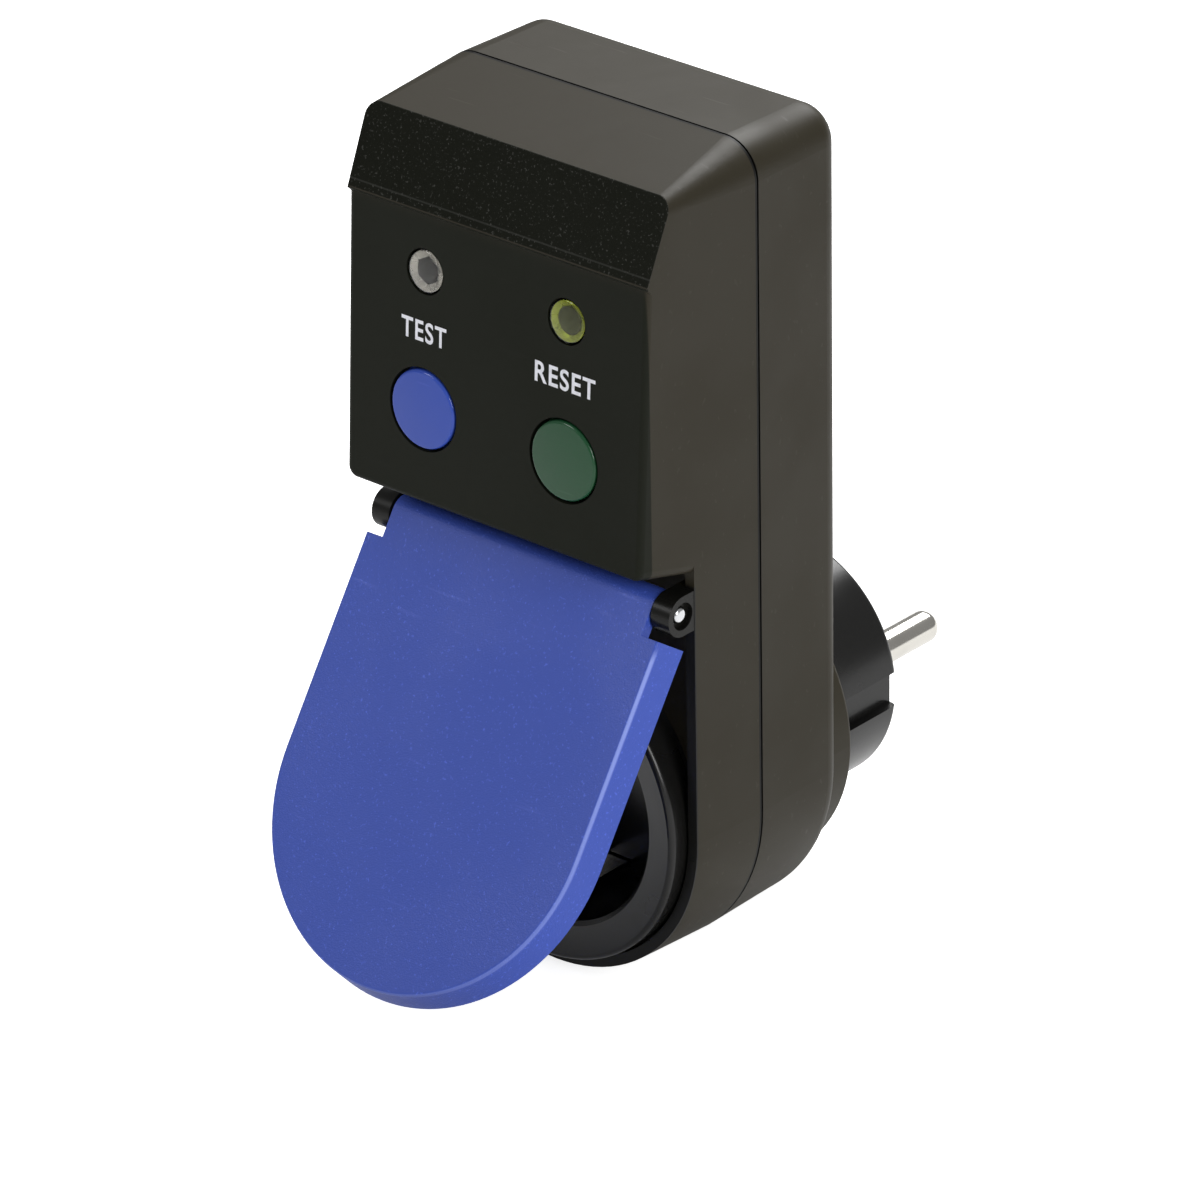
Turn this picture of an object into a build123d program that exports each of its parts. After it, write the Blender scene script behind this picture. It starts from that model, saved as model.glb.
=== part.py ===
from build123d import *
from math import atan2, cos, radians, sin, tan
import os

# Plug-in residual-current adapter: millimetres, +Z up, +Y into the wall, +X to the right seen from the front.
# The origin is the centre of the plug's end face, midway between its two pins.

# Housing
collar_side_gap = 0.45
chamfer_rise = 14.0
top_corner_radius = 5.5
front_corner_radius = 0.8
rear_shell_depth = 18.0
rear_edge_radius = 3.4
rear_draft = 1.0
side_draft = 2.8
top_draft = 8.6
wall = 2.0
seam_gap = 0.3
seam_inset = 0.5
lip_overlap = 0.1

# Head over the hinge
panel_lean = 2.4
head_over_hinge = 7.95
indicator_head_margin = 8.6
panel_step = 0.3
chamfer_run = 4.9
chamfer_over_rim = 3.3
head_edge_radius = 0.9
head_corner_radius = 1.6
head_under_drop = 2.65

# Pocket round the outlet
rim_height = 3.2
rim_wall = 1.6
pocket_floor_forward = 10.0

# Plug side
boss_set_in = 3.1
boss_height = 5.4
boss_edge_radius = 0.6
plug_shoulder = 9.5
plug_depth = 17.5
plug_wall = 3.0
plug_end_wall = 4.0
plug_edge_radius = 1.0
plug_flange_thickness = 2.0
plug_flange_margin = 1.8
pin_pitch = 19.0
pin_radius = 2.4
pin_root_radius = 2.9
pin_length = 19.0
pin_tip_radius = 1.9
pin_collar_radius = 3.4
pin_collar_length = 1.5
groove_width = 5.4
groove_depth = 1.6

# Outlet side
recess_play = 0.75
recess_depth = 17.5
recess_floor = 2.2
cup_wall = 1.85
collar_flange = 3.7
collar_height = 6.1
collar_lip_radius = 0.8
collar_dish = 0.9
collar_mouth_chamfer = 0.6
outlet_gasket_thickness = 0.8
guide_rib_width = 4.4
guide_rib_height = 1.5
guide_rib_top_drop = 5.0
receptacle_wall = 0.8
receptacle_length = 13.8
receptacle_slit = 0.8
receptacle_tab_length = 3.0
receptacle_tab_width = 3.0
tower_wall = 1.5
tower_length = 13.4

# Earth contacts
earth_strip = 1.0
plug_earth_width = 5.0
plug_earth_depth = 0.9
plug_earth_end_gap = 1.0
plug_earth_bar_gap = 1.0
clip_strip = 0.8
clip_width = 4.0
clip_wall_gap = 1.65
clip_top_drop = 3.6
clip_bump_radius = 1.0
clip_bump_drop = 2.5
earth_link_radius = 1.0
earth_link_z = 6.0

# Lid and its hinge
hinge_set_back = 0.55
hinge_over_collar = 11.0
lid_rest_angle = 33.6
lid_front_height = 2.7
lid_plate = 1.8
lid_depth = 4.8
lid_set_in = 1.2
lid_flare = 1.1
lid_wall = 1.4
lid_edge_radius = 0.5
lid_shoulder = 4.4
ear_set_in = 0.7
ear_width = 3.2
ear_radius = 3.0
ear_sink_radius = 2.0
ear_sink_depth = 0.9
knuckle_side_gap = 0.3
hinge_pin_radius = 1.25
hinge_pin_end_drop = 0.25
hinge_pin_dome = 0.7
spring_wire = 0.6
spring_length = 9.0
spring_side_gap = 0.5
spring_leg_angle = 30.0

# Buttons and indicators, measured in the panel's own frame
button_set_in = 15.2
button_row_rise = 13.85
button_radius = 5.75
button_rise = 0.4
button_gap = 0.4
button_edge_depth = 0.3
button_edge_radius = 0.45
dome_middle_share = 0.75
button_travel = 2.0
button_flange_margin = 1.1
button_flange = 1.2
button_stem_radius = 2.2
button_spring_gap = 0.7
button_spring_wall = 0.9
button_guide_wall = 1.0
button_guide_depth = 7.5
indicator_row_rise = 20.3
lens_radius = 3.15
lens_dome = 0.35
lens_sink = 0.1
lens_depth = 4.0
lens_flange_margin = 0.6
lens_flange = 0.9
led_radius = 1.6
led_dome_radius = 1.4
led_length = 4.6
led_lead_radius = 0.25
led_lead_pitch = 1.8

# Circuit board and the mechanism behind it
mechanism_rear_gap = 4.42
board_thickness = 1.6
board_side_gap = 3.3
board_over_indicators = 8.2
board_foot_gap = 0.95
post_radius = 2.8
post_set_in = 6.0
post_over_board_foot = 3.4
post_over_indicators = 3.7
base_thickness = 2.0
base_side_gap = 3.1
carriage_gap = 2.4
carriage_length = 8.0
carriage_half_width = 8.5
carriage_half_height = 4.5
bridge_pitch = 8.6
bridge_width = 3.4
bridge_thickness = 1.0
bridge_set_back = 2.0
contact_row = 9.0
contact_height = 5.0
contact_pad_radius = 1.5
contact_pad_height = 0.2
contact_gap_closed = 0.2
guide_post_width = 4.6
guide_post_thickness = 1.0
carriage_spring_length = 6.6
carriage_spring_radius = 3.0
carriage_spring_wall = 0.8

# Trip coil and latch
coil_floor_gap = 1.3
coil_set_in = 7.0
coil_length = 13.4
bobbin_wall = 0.9
bobbin_flange = 0.9
bobbin_flange_radius = 6.2
winding_radius = 5.5
yoke_plate = 1.1
plunger_radius = 2.2
plunger_spring_length = 4.6
plunger_shoulder_gap = 1.4
plunger_tip_radius = 0.9
plunger_head_radius = 1.4
plunger_spring_wall = 0.7
latch_thickness = 1.6
latch_half_width = 2.5
latch_top_reach = 4.0
latch_nose_height = 1.5
latch_pivot_height = 2.6
latch_tail = 1.9
latch_pin_radius = 1.0
latch_ear = 1.5
latch_eye_radius = 1.5

# Summing transformer and wires
transformer_radius = 10.0
transformer_bore = 4.5
transformer_drop = 5.6
transformer_height = 8.0
transformer_jacket = 1.0
transformer_window = 60.0
wire_radius = 0.9
feed_wire_half_gap = 1.9
feed_run_z = 9.5
load_wire_gap = 2.0
wire_lead = 2.7
feed_turn_rise = 2.0
load_run_z = 6.8

# Parts on the board
test_contact_radius = 2.3
test_contact_height = 1.2
test_contact_foot = 0.5
test_contact_dome_radius = 1.6
test_contact_edge_radius = 0.4
varistor_radius = 4.5
varistor_height = 3.4
varistor_rise = 22.0
part_edge_radius = 0.5
capacitor_length = 13.0
capacitor_width = 6.5
capacitor_height = 8.0
capacitor_rise = 11.7
chip_length = 9.8
chip_width = 6.4
chip_height = 3.0
chip_stand_off = 0.4
chip_fall = 3.0
chip_leg_count = 4
chip_leg_pitch = 2.54
chip_leg_width = 0.5
chip_leg_thickness = 0.3
chip_leg_reach = 0.6
resistor_count = 4
resistor_radius = 1.15
resistor_length = 6.0
resistor_pitch = 2.7
resistor_set_in = 8.0
resistor_first_rise = 14.5

# Screws
housing_screw_radius = 1.5
housing_screw_head_radius = 2.9
housing_screw_head = 2.2
housing_screw_set_in = 6.5
housing_screw_drop = 7.5
housing_screw_under_hinge = 3.3
housing_boss_front_radius = 3.4
housing_boss_rear_radius = 4.2
counterbore_depth = 3.5
board_screw_head_radius = 2.8
board_screw_head = 1.6
board_screw_bite = 8.0
outlet_screw_radius = 1.0
outlet_screw_head_radius = 1.8
outlet_screw_head = 1.4
outlet_screw_bite = 3.0
outlet_screw_out = 1.9
plug_screw_radius = 1.1
plug_screw_head_radius = 2.0
plug_screw_head = 1.4
plug_screw_bite = 4.5
plug_screw_out = 2.9
screw_round_share = 0.45
screw_cross_share = 0.55
screw_cross_width_share = 0.16
screw_cross_depth_share = 0.4

# Clearances
running = 0.05
knuckle_running = 0.075
slack = 0.1
fit = 0.15
seat = 0.3
overshoot = 1.0

# Places across the adapter, from the pins outward
pin_x = pin_pitch / 2
plug_radius = pin_x + plug_shoulder
plug_hollow_radius = plug_radius - plug_wall
plug_screw_circle = plug_radius + plug_screw_out
plug_slot_floor = plug_radius - plug_earth_depth - earth_strip - running - fit
recess_radius = plug_radius + recess_play
cup_radius = recess_radius + cup_wall
outlet_screw_circle = cup_radius + outlet_screw_out
collar_radius = cup_radius + collar_flange
rim_forward = pocket_floor_forward + rim_height
half_width = collar_radius + collar_side_gap + rim_wall + rim_forward * tan(radians(side_draft))
housing_width = 2 * half_width
boss_radius = half_width - boss_set_in
plug_flange_radius = half_width - wall - plug_flange_margin
lid_half_width = half_width - lid_set_in
ear_outer_x = half_width - ear_set_in
ear_inner_x = ear_outer_x - ear_width
button_x = half_width - button_set_in
board_half_width = half_width - board_side_gap
base_half_width = half_width - base_side_gap
post_x = half_width - post_set_in
housing_screw_x = half_width - housing_screw_set_in
resistor_left = resistor_set_in - half_width
receptacle_bore = pin_radius + slack
receptacle_radius = receptacle_bore + receptacle_wall

# Places up the adapter, from the collar to the top
hinge_z = collar_radius + hinge_over_collar
panel_low_z = hinge_z + head_over_hinge
button_row_z = panel_low_z + button_row_rise
panel_high_z = button_row_z + indicator_row_rise + indicator_head_margin
housing_top_z = panel_high_z + chamfer_rise
under_back_z = panel_low_z - head_under_drop
board_rise = indicator_row_rise + board_over_indicators
board_fall = button_row_rise - board_foot_gap
post_high_rise = indicator_row_rise + post_over_indicators
post_low_fall = board_fall - post_over_board_foot
housing_screw_high_z = housing_top_z - housing_screw_drop
housing_screw_low_z = hinge_z - housing_screw_under_hinge
transformer_low_z = button_row_z - board_fall - transformer_drop - transformer_height

# Places in depth, as distances forward of the seam plane
boss_face_y = -plug_depth
back_y = boss_face_y - boss_height
seam_y = back_y - rear_shell_depth
back_forward = -rear_shell_depth
back_inner_forward = back_forward + wall
plug_end_forward = seam_y
plug_flange_front = back_inner_forward + plug_flange_thickness
collar_forward = pocket_floor_forward + collar_height
hinge_forward = collar_forward - hinge_set_back
recess_floor_forward = collar_forward - recess_depth
cup_back_forward = recess_floor_forward - recess_floor
chamfer_top_forward = rim_forward + chamfer_over_rim
chamfer_top_z = housing_top_z - chamfer_top_forward * tan(radians(top_draft))
panel_high_forward = chamfer_top_forward + chamfer_run
panel_low_forward = panel_high_forward + panel_lean
transformer_forward = back_inner_forward + seat + transformer_radius
load_wire_x = transformer_radius + load_wire_gap
panel_tilt = atan2(panel_lean, panel_high_z - panel_low_z)
panel_forward = panel_low_forward - button_row_rise * tan(panel_tilt)
panel_inward = (0, cos(panel_tilt), -sin(panel_tilt))

# Depths behind the panel, from the rear wall forward
base_back = panel_forward - back_inner_forward - mechanism_rear_gap
base_depth = base_back - base_thickness
carriage_back = base_depth - carriage_spring_length
carriage_depth = carriage_back - carriage_length
board_back = carriage_depth - carriage_gap
board_depth = board_back - board_thickness
bridge_depth = carriage_back - bridge_set_back
bridge_half_length = contact_row + contact_pad_radius
contact_depth = bridge_depth + bridge_thickness + button_travel + contact_gap_closed + contact_pad_height
button_hole_radius = button_radius + button_gap
lens_hole_radius = lens_radius + fit + running
coil_depth = base_depth - yoke_plate - coil_floor_gap - bobbin_flange_radius
coil_left = coil_set_in - half_width
coil_right = coil_left + coil_length
coil_floor = coil_left - slack
plunger_left = coil_floor + plunger_spring_length
plunger_shoulder = coil_right - plunger_shoulder_gap
latch_top_depth = coil_depth - latch_top_reach
latch_pivot_depth = base_depth - latch_pivot_height
latch_nose_reach = button_x - carriage_half_width - seat

# Frames: the housing's (x, height, forward of the seam), the panel's (x, down, depth), the lid's (x, up, out)
housing_frame = Plane(origin=(0, seam_y, 0), x_dir=(1, 0, 0), z_dir=(0, -1, 0))
panel_frame = Plane(
    origin=(0, seam_y - panel_forward, button_row_z), x_dir=(1, 0, 0), z_dir=panel_inward
)
lid_outward = (0, -cos(radians(lid_rest_angle)), sin(radians(lid_rest_angle)))
lid_frame = Plane(
    origin=(0, seam_y - hinge_forward, hinge_z), x_dir=(1, 0, 0), z_dir=lid_outward
)
base_align = (Align.CENTER, Align.CENTER, Align.MIN)


def rod(radius, low, high, x=0.0, y=0.0):
    """Round bar along a frame's third axis."""
    return Pos(x, y, low) * Cylinder(radius, high - low, align=base_align)


def tube(outer, inner, low, high, x=0.0, y=0.0):
    """Round tube along a frame's third axis."""
    return rod(outer, low, high, x, y) - rod(inner, low - overshoot, high + overshoot, x, y)


def block(x_low, x_high, y_low, y_high, low, high):
    """Rectangular block between two corners of a frame."""
    size = (x_high - x_low, y_high - y_low, high - low)
    return Pos(x_low, y_low, low) * Box(*size, align=(Align.MIN, Align.MIN, Align.MIN))


def cross_rod(radius, x_low, x_high, y, depth):
    """Round bar along a frame's first axis."""
    return Pos(x_low, y, depth) * Rot(0, 90, 0) * Cylinder(radius, x_high - x_low, align=base_align)


def down_rod(radius, x, y_low, y_high, depth):
    """Round bar along a frame's second axis."""
    return Pos(x, y_low, depth) * Rot(-90, 0, 0) * Cylinder(radius, y_high - y_low, align=base_align)


def both_sides(maker):
    """The same piece on the left and on the right."""
    return [maker(-1), maker(1)]


def ring_places(circle):
    """Four places at 45 degrees on a circle."""
    reach = circle * cos(radians(45))
    return [(x * reach, y * reach) for x in (-1, 1) for y in (-1, 1)]


def merged(first, pieces):
    """One solid of a first shape and what is added to it."""
    for piece in pieces:
        first = first + piece
    return first


def cleared(first, pieces):
    """A first shape with each of the others cut out of it."""
    for piece in pieces:
        first = first - piece
    return first


def bent_wire(points):
    """Stiff wire along straight runs with round corners, in the housing's frame."""
    pieces = []
    for start, end in zip(points, points[1:]):
        run = Vector(*end) - Vector(*start)
        pieces.append(Plane(origin=start, z_dir=run) * Cylinder(wire_radius, run.length, align=base_align))
    for corner in points[1:-1]:
        pieces.append(Pos(*corner) * Sphere(wire_radius))
    return housing_frame * merged(pieces[0], pieces[1:])


def outline(side, top, corner):
    """Front outline of the housing: half round below, straight sides, rounded corners above."""
    lean = corner * (1 - cos(radians(45)))
    bottom = ThreePointArc((-side, 0), (0, -side), (side, 0))
    right = Line((side, 0), (side, top - corner))
    right_corner = ThreePointArc((side, top - corner), (side - lean, top - lean), (side - corner, top))
    over = Line((side - corner, top), (corner - side, top))
    left_corner = ThreePointArc((corner - side, top), (lean - side, top - lean), (-side, top - corner))
    left = Line((-side, top - corner), (-side, 0))
    return make_face([bottom, right, right_corner, over, left_corner, left])


def front_section(forward, inset):
    """Outline of the front shell at one distance forward of the seam."""
    share = forward / panel_low_forward
    corner = top_corner_radius + (front_corner_radius - top_corner_radius) * share
    side = half_width - forward * tan(radians(side_draft)) - inset
    top = housing_top_z - forward * tan(radians(top_draft)) - inset
    bend = max(corner - inset, front_corner_radius / 2)
    return housing_frame * Pos(0, 0, forward) * outline(side, top, bend)


def front_loft(start, inset):
    """Draughted form of the front shell from a starting plane to past the panel."""
    end = panel_low_forward + overshoot
    return loft([front_section(start, inset), front_section(end, inset)], ruled=True)


def side_profile(points):
    """Slab across the whole width from (forward, height) corners."""
    corners = [(seam_y - forward, z) for forward, z in points]
    return extrude(Plane.YZ * make_face(Polyline(*corners, close=True)), amount=housing_width, both=True)


def chamfer_extension():
    """Point where the chamfer's line leaves the top of the housing."""
    return (
        2 * chamfer_top_forward - panel_high_forward,
        2 * chamfer_top_z - panel_high_z,
    )


def outer_head_profile():
    """Side view of the front shell with the rims of its lower part."""
    low = -housing_width
    over = chamfer_extension()
    return side_profile(
        [
            (seam_gap / 2, low),
            (seam_gap / 2, over[1]),
            over,
            (panel_high_forward + panel_step, panel_high_z),
            (panel_high_forward, panel_high_z - panel_step),
            (panel_low_forward, panel_low_z),
            (rim_forward, under_back_z),
            (rim_forward, low),
        ]
    )


def inner_head_profile():
    """Side view of the hollow of the front shell, one wall inside its skin."""
    low = -housing_width - wall
    over = chamfer_extension()
    corners = [
        (-overshoot - wall, low),
        (-overshoot - wall, over[1] + wall),
        (over[0], over[1] + wall),
        over,
        (panel_high_forward, panel_high_z),
        (panel_low_forward, panel_low_z),
        (pocket_floor_forward, under_back_z),
        (pocket_floor_forward, low),
    ]
    points = [(seam_y - forward, z) for forward, z in corners]
    face = offset(make_face(Polyline(*points, close=True)), amount=-wall, kind=Kind.INTERSECTION)
    return extrude(Plane.YZ * face, amount=housing_width, both=True)


def post_places():
    """Places of the four posts that carry the board and the mechanism, in the panel's frame."""
    return [(x * post_x, y) for x in (-1, 1) for y in (post_low_fall, -post_high_rise)]


def housing_screw_places():
    """Places of the four screws that close the housing, in the housing's frame."""
    return [(x * housing_screw_x, z) for x in (-1, 1) for z in (housing_screw_high_z, housing_screw_low_z)]


def head_skin():
    """Outer form of the front shell with its front edges rounded."""
    skin = front_loft(seam_gap / 2, 0) & outer_head_profile()
    under_y = seam_y - (rim_forward + panel_low_forward) / 2
    under_face = skin.faces().sort_by_distance((0, under_y, (under_back_z + panel_low_z) / 2))[0]
    corners = under_face.edges().sort_by(Axis.X)
    skin = fillet([corners[0], corners[-1]], head_corner_radius)
    front_y = seam_y - (panel_high_forward + panel_low_forward) / 2
    panel_face = skin.faces().sort_by_distance((0, front_y, (panel_high_z + panel_low_z) / 2))[0]
    return fillet(panel_face.edges().sort_by(Axis.Z)[:5], head_edge_radius)


def hinge_ears():
    """Two ears that hold the hinge pin, rooted in the pocket floor."""
    ears = []
    for side in (-1, 1):
        low = min(side * ear_inner_x, side * ear_outer_x)
        high = max(side * ear_inner_x, side * ear_outer_x)
        ears.append(housing_frame * cross_rod(ear_radius, low, high, hinge_z, hinge_forward))
        foot, top = hinge_z - ear_radius, hinge_z + ear_radius
        stem = block(low, high, foot, top, pocket_floor_forward, hinge_forward)
        ears.append(housing_frame * stem)
    return ears


def hinge_bores():
    """Holes for the hinge pin through both ears, sunk round the pin's ends."""
    reach = ear_outer_x + overshoot
    sunk = ear_outer_x - ear_sink_depth
    bore = cross_rod(hinge_pin_radius + running, -reach, reach, hinge_z, hinge_forward)
    left = cross_rod(ear_sink_radius, -reach, -sunk, hinge_z, hinge_forward)
    right = cross_rod(ear_sink_radius, sunk, reach, hinge_z, hinge_forward)
    return housing_frame * (bore + left + right)


def front_bosses(skin):
    """Posts for the board and bosses for the housing screws, trimmed to the skin."""
    bosses = [panel_frame * rod(post_radius, wall / 2, board_depth, x, y) for x, y in post_places()]
    for x, z in housing_screw_places():
        top = chamfer_top_forward if z > panel_low_z else pocket_floor_forward - wall / 2
        bosses.append(housing_frame * rod(housing_boss_front_radius, seam_gap / 2, top, x, z))
    for side in (-1, 1):
        flange = button_radius + button_flange_margin + seat
        guide = tube(flange + button_guide_wall, flange, wall / 2, button_guide_depth, side * button_x)
        bosses.append(panel_frame * guide)
        flange = lens_radius + lens_flange_margin + fit
        rise = -indicator_row_rise
        deep = lens_depth + overshoot
        guide = tube(flange + button_guide_wall, flange, wall / 2, deep, side * button_x, rise)
        bosses.append(panel_frame * guide)
    return [boss & skin for boss in bosses]


def front_holes():
    """Every hole through the front shell."""
    holes = []
    for side in (-1, 1):
        holes.append(panel_frame * rod(button_hole_radius, -2 * overshoot, wall + fit, side * button_x))
        lens_hole = rod(lens_hole_radius, -2 * overshoot, wall + fit, side * button_x, -indicator_row_rise)
        holes.append(panel_frame * lens_hole)
    for x, y in post_places():
        bite = board_depth - board_screw_bite - overshoot
        holes.append(panel_frame * rod(housing_screw_radius + running, bite, board_depth, x, y))
    for x, z in housing_screw_places():
        depth = pocket_floor_forward - wall
        holes.append(housing_frame * rod(housing_screw_radius + running, 0, depth, x, z))
    floor_low = pocket_floor_forward - wall - overshoot
    floor_high = pocket_floor_forward + overshoot
    holes.append(housing_frame * rod(cup_radius + fit + running, floor_low, floor_high))
    for x, z in ring_places(outlet_screw_circle):
        holes.append(housing_frame * rod(outlet_screw_radius + slack, floor_low, floor_high, x, z))
    return holes


def front_housing():
    """Front shell with its inclined panel, overhanging head, pocket and hinge ears."""
    skin = head_skin()
    rim_side = half_width - rim_forward * tan(radians(side_draft)) - rim_wall
    pocket_face = outline(rim_side, under_back_z, front_corner_radius)
    depth = rim_forward + overshoot - pocket_floor_forward
    pocket = housing_frame * Pos(0, 0, pocket_floor_forward) * extrude(pocket_face, amount=depth)
    hollow = front_loft(0, wall) & inner_head_profile()
    shell = skin - pocket - hollow
    shell = merged(shell, front_bosses(skin))
    shell = cleared(shell, front_holes())
    shell = merged(shell, hinge_ears())
    return shell - hinge_bores()


def rear_skin():
    """Outer form of the rear shell, rounded at the back."""
    deep = half_width - rear_shell_depth * tan(radians(rear_draft))
    sink = half_width - deep
    near = housing_frame * Pos(0, 0, -seam_gap / 2) * outline(half_width, housing_top_z, top_corner_radius)
    far_face = outline(deep, housing_top_z - sink, top_corner_radius - sink)
    far = housing_frame * Pos(0, 0, back_forward) * far_face
    skin = loft([near, far], ruled=True)
    return fillet(skin.faces().sort_by(Axis.Y)[-1].edges(), rear_edge_radius)


def rear_housing():
    """Rear shell with the boss that seats on the wall plate."""
    inner_face = outline(half_width - wall, housing_top_z - wall, top_corner_radius - wall)
    hollow = housing_frame * Pos(0, 0, back_inner_forward) * extrude(inner_face, amount=rear_shell_depth)
    boss = rod(boss_radius, back_forward - boss_height, back_inner_forward)
    boss = fillet(boss.edges().sort_by(Axis.Z)[0], boss_edge_radius)
    shell = rear_skin() - hollow + housing_frame * boss
    for x, z in housing_screw_places():
        shell = shell + housing_frame * rod(
            housing_boss_rear_radius, back_inner_forward - wall / 2, -seam_gap / 2, x, z
        )
        shell = shell - housing_frame * rod(housing_screw_radius + slack, back_forward, 0, x, z)
        shell = shell - housing_frame * rod(
            housing_screw_head_radius + seat, back_forward - overshoot, back_forward + counterbore_depth, x, z
        )
    for x, z in ring_places(plug_screw_circle):
        bite = back_inner_forward - plug_screw_bite - overshoot
        shell = shell - housing_frame * rod(plug_screw_radius + running, bite, back_inner_forward + fit, x, z)
    opening = rod(plug_radius + fit, back_forward - boss_height - overshoot, 0)
    return shell - housing_frame * opening


def housing_gasket():
    """Thin seal between the two shells, set in from the outside."""
    outer = outline(half_width - seam_inset, housing_top_z - seam_inset, top_corner_radius - seam_inset)
    inset = wall - lip_overlap
    inner = outline(half_width - inset, housing_top_z - inset, top_corner_radius - inset)
    return housing_frame * Pos(0, 0, -seam_gap / 2) * extrude(outer - inner, amount=seam_gap)


def screws(places, shank_radius, head_radius, head, seat_level, tip_level):
    """Pan-head screws from the level of their seats to their tips, along a frame's third axis."""
    way = 1 if tip_level > seat_level else -1
    group = []
    for x, y in places:
        top = seat_level - way * head
        body = rod(head_radius, min(top, seat_level), max(top, seat_level), x, y)
        rim = body.edges().sort_by(Axis.Z)[0 if way > 0 else -1]
        body = fillet(rim, head * screw_round_share)
        shank = rod(shank_radius, min(seat_level, tip_level), max(seat_level, tip_level), x, y)
        socket_depth = head * screw_cross_depth_share
        low, high = sorted((top - way * overshoot, top + way * socket_depth))
        arm, half = head_radius * screw_cross_share, head_radius * screw_cross_width_share
        cross = block(x - arm, x + arm, y - half, y + half, low, high)
        cross = cross + block(x - half, x + half, y - arm, y + arm, low, high)
        group.append(body + shank - cross)
    return group


def housing_screws():
    """Four screws that close the housing from the back."""
    tip = pocket_floor_forward - wall - overshoot
    return [
        housing_frame * screw
        for screw in screws(
            housing_screw_places(),
            housing_screw_radius,
            housing_screw_head_radius,
            housing_screw_head,
            back_forward + counterbore_depth,
            tip,
        )
    ]


def plug_base():
    """Round plug body that reaches into the wall socket, with grooves and earth slots."""
    body = rod(plug_radius, plug_end_forward, plug_flange_front)
    body = fillet(body.edges().sort_by(Axis.Z)[0], plug_edge_radius)
    body = body + rod(plug_flange_radius, back_inner_forward, plug_flange_front)
    body = body - rod(plug_hollow_radius, plug_end_forward + plug_end_wall, plug_flange_front + overshoot)
    low, high = plug_end_forward - overshoot, plug_flange_front + overshoot
    slot = plug_earth_width / 2 + running + fit
    boss_face = back_forward - boss_height
    for side in (-1, 1):
        body = body - rod(pin_root_radius + running, low, high, side * pin_x)
        edges = sorted((side * plug_slot_floor, side * (plug_radius + overshoot)))
        body = body - block(-slot, slot, edges[0], edges[1], low, high)
        edges = sorted((side * (plug_radius - groove_depth), side * (plug_radius + overshoot)))
        body = body - block(edges[0], edges[1], -groove_width / 2, groove_width / 2, low, boss_face)
    for x, z in ring_places(plug_screw_circle):
        body = body - rod(plug_screw_radius + slack, low, high, x, z)
    return housing_frame * body


def plug_base_screws():
    """Four screws that hold the plug base to the boss from inside."""
    tip = back_inner_forward - plug_screw_bite
    group = screws(
        ring_places(plug_screw_circle),
        plug_screw_radius,
        plug_screw_head_radius,
        plug_screw_head,
        plug_flange_front,
        tip,
    )
    return [housing_frame * screw for screw in group]


def plug_pin(side):
    """One solid contact pin with a thicker root and a collar behind the plug's end wall."""
    inner = plug_end_forward + plug_end_wall
    pin = rod(pin_radius, plug_end_forward - pin_length, plug_end_forward, side * pin_x)
    pin = fillet(pin.edges().sort_by(Axis.Z)[0], pin_tip_radius)
    pin = pin + rod(pin_root_radius, plug_end_forward, inner, side * pin_x)
    return housing_frame * (pin + rod(pin_collar_radius, inner, inner + pin_collar_length, side * pin_x))


def plug_earth_strap():
    """Earth strap: two contact legs in the plug's slots, joined by a bar inside."""
    half = plug_earth_width / 2
    outer = plug_radius - plug_earth_depth
    bar_low = plug_flange_front + plug_earth_bar_gap
    strap = block(-half, half, -outer, outer, bar_low, bar_low + earth_strip)
    for side in (-1, 1):
        edges = sorted((side * (outer - earth_strip), side * outer))
        strap = strap + block(-half, half, edges[0], edges[1], plug_end_forward + plug_earth_end_gap, bar_low)
    return housing_frame * strap


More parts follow.
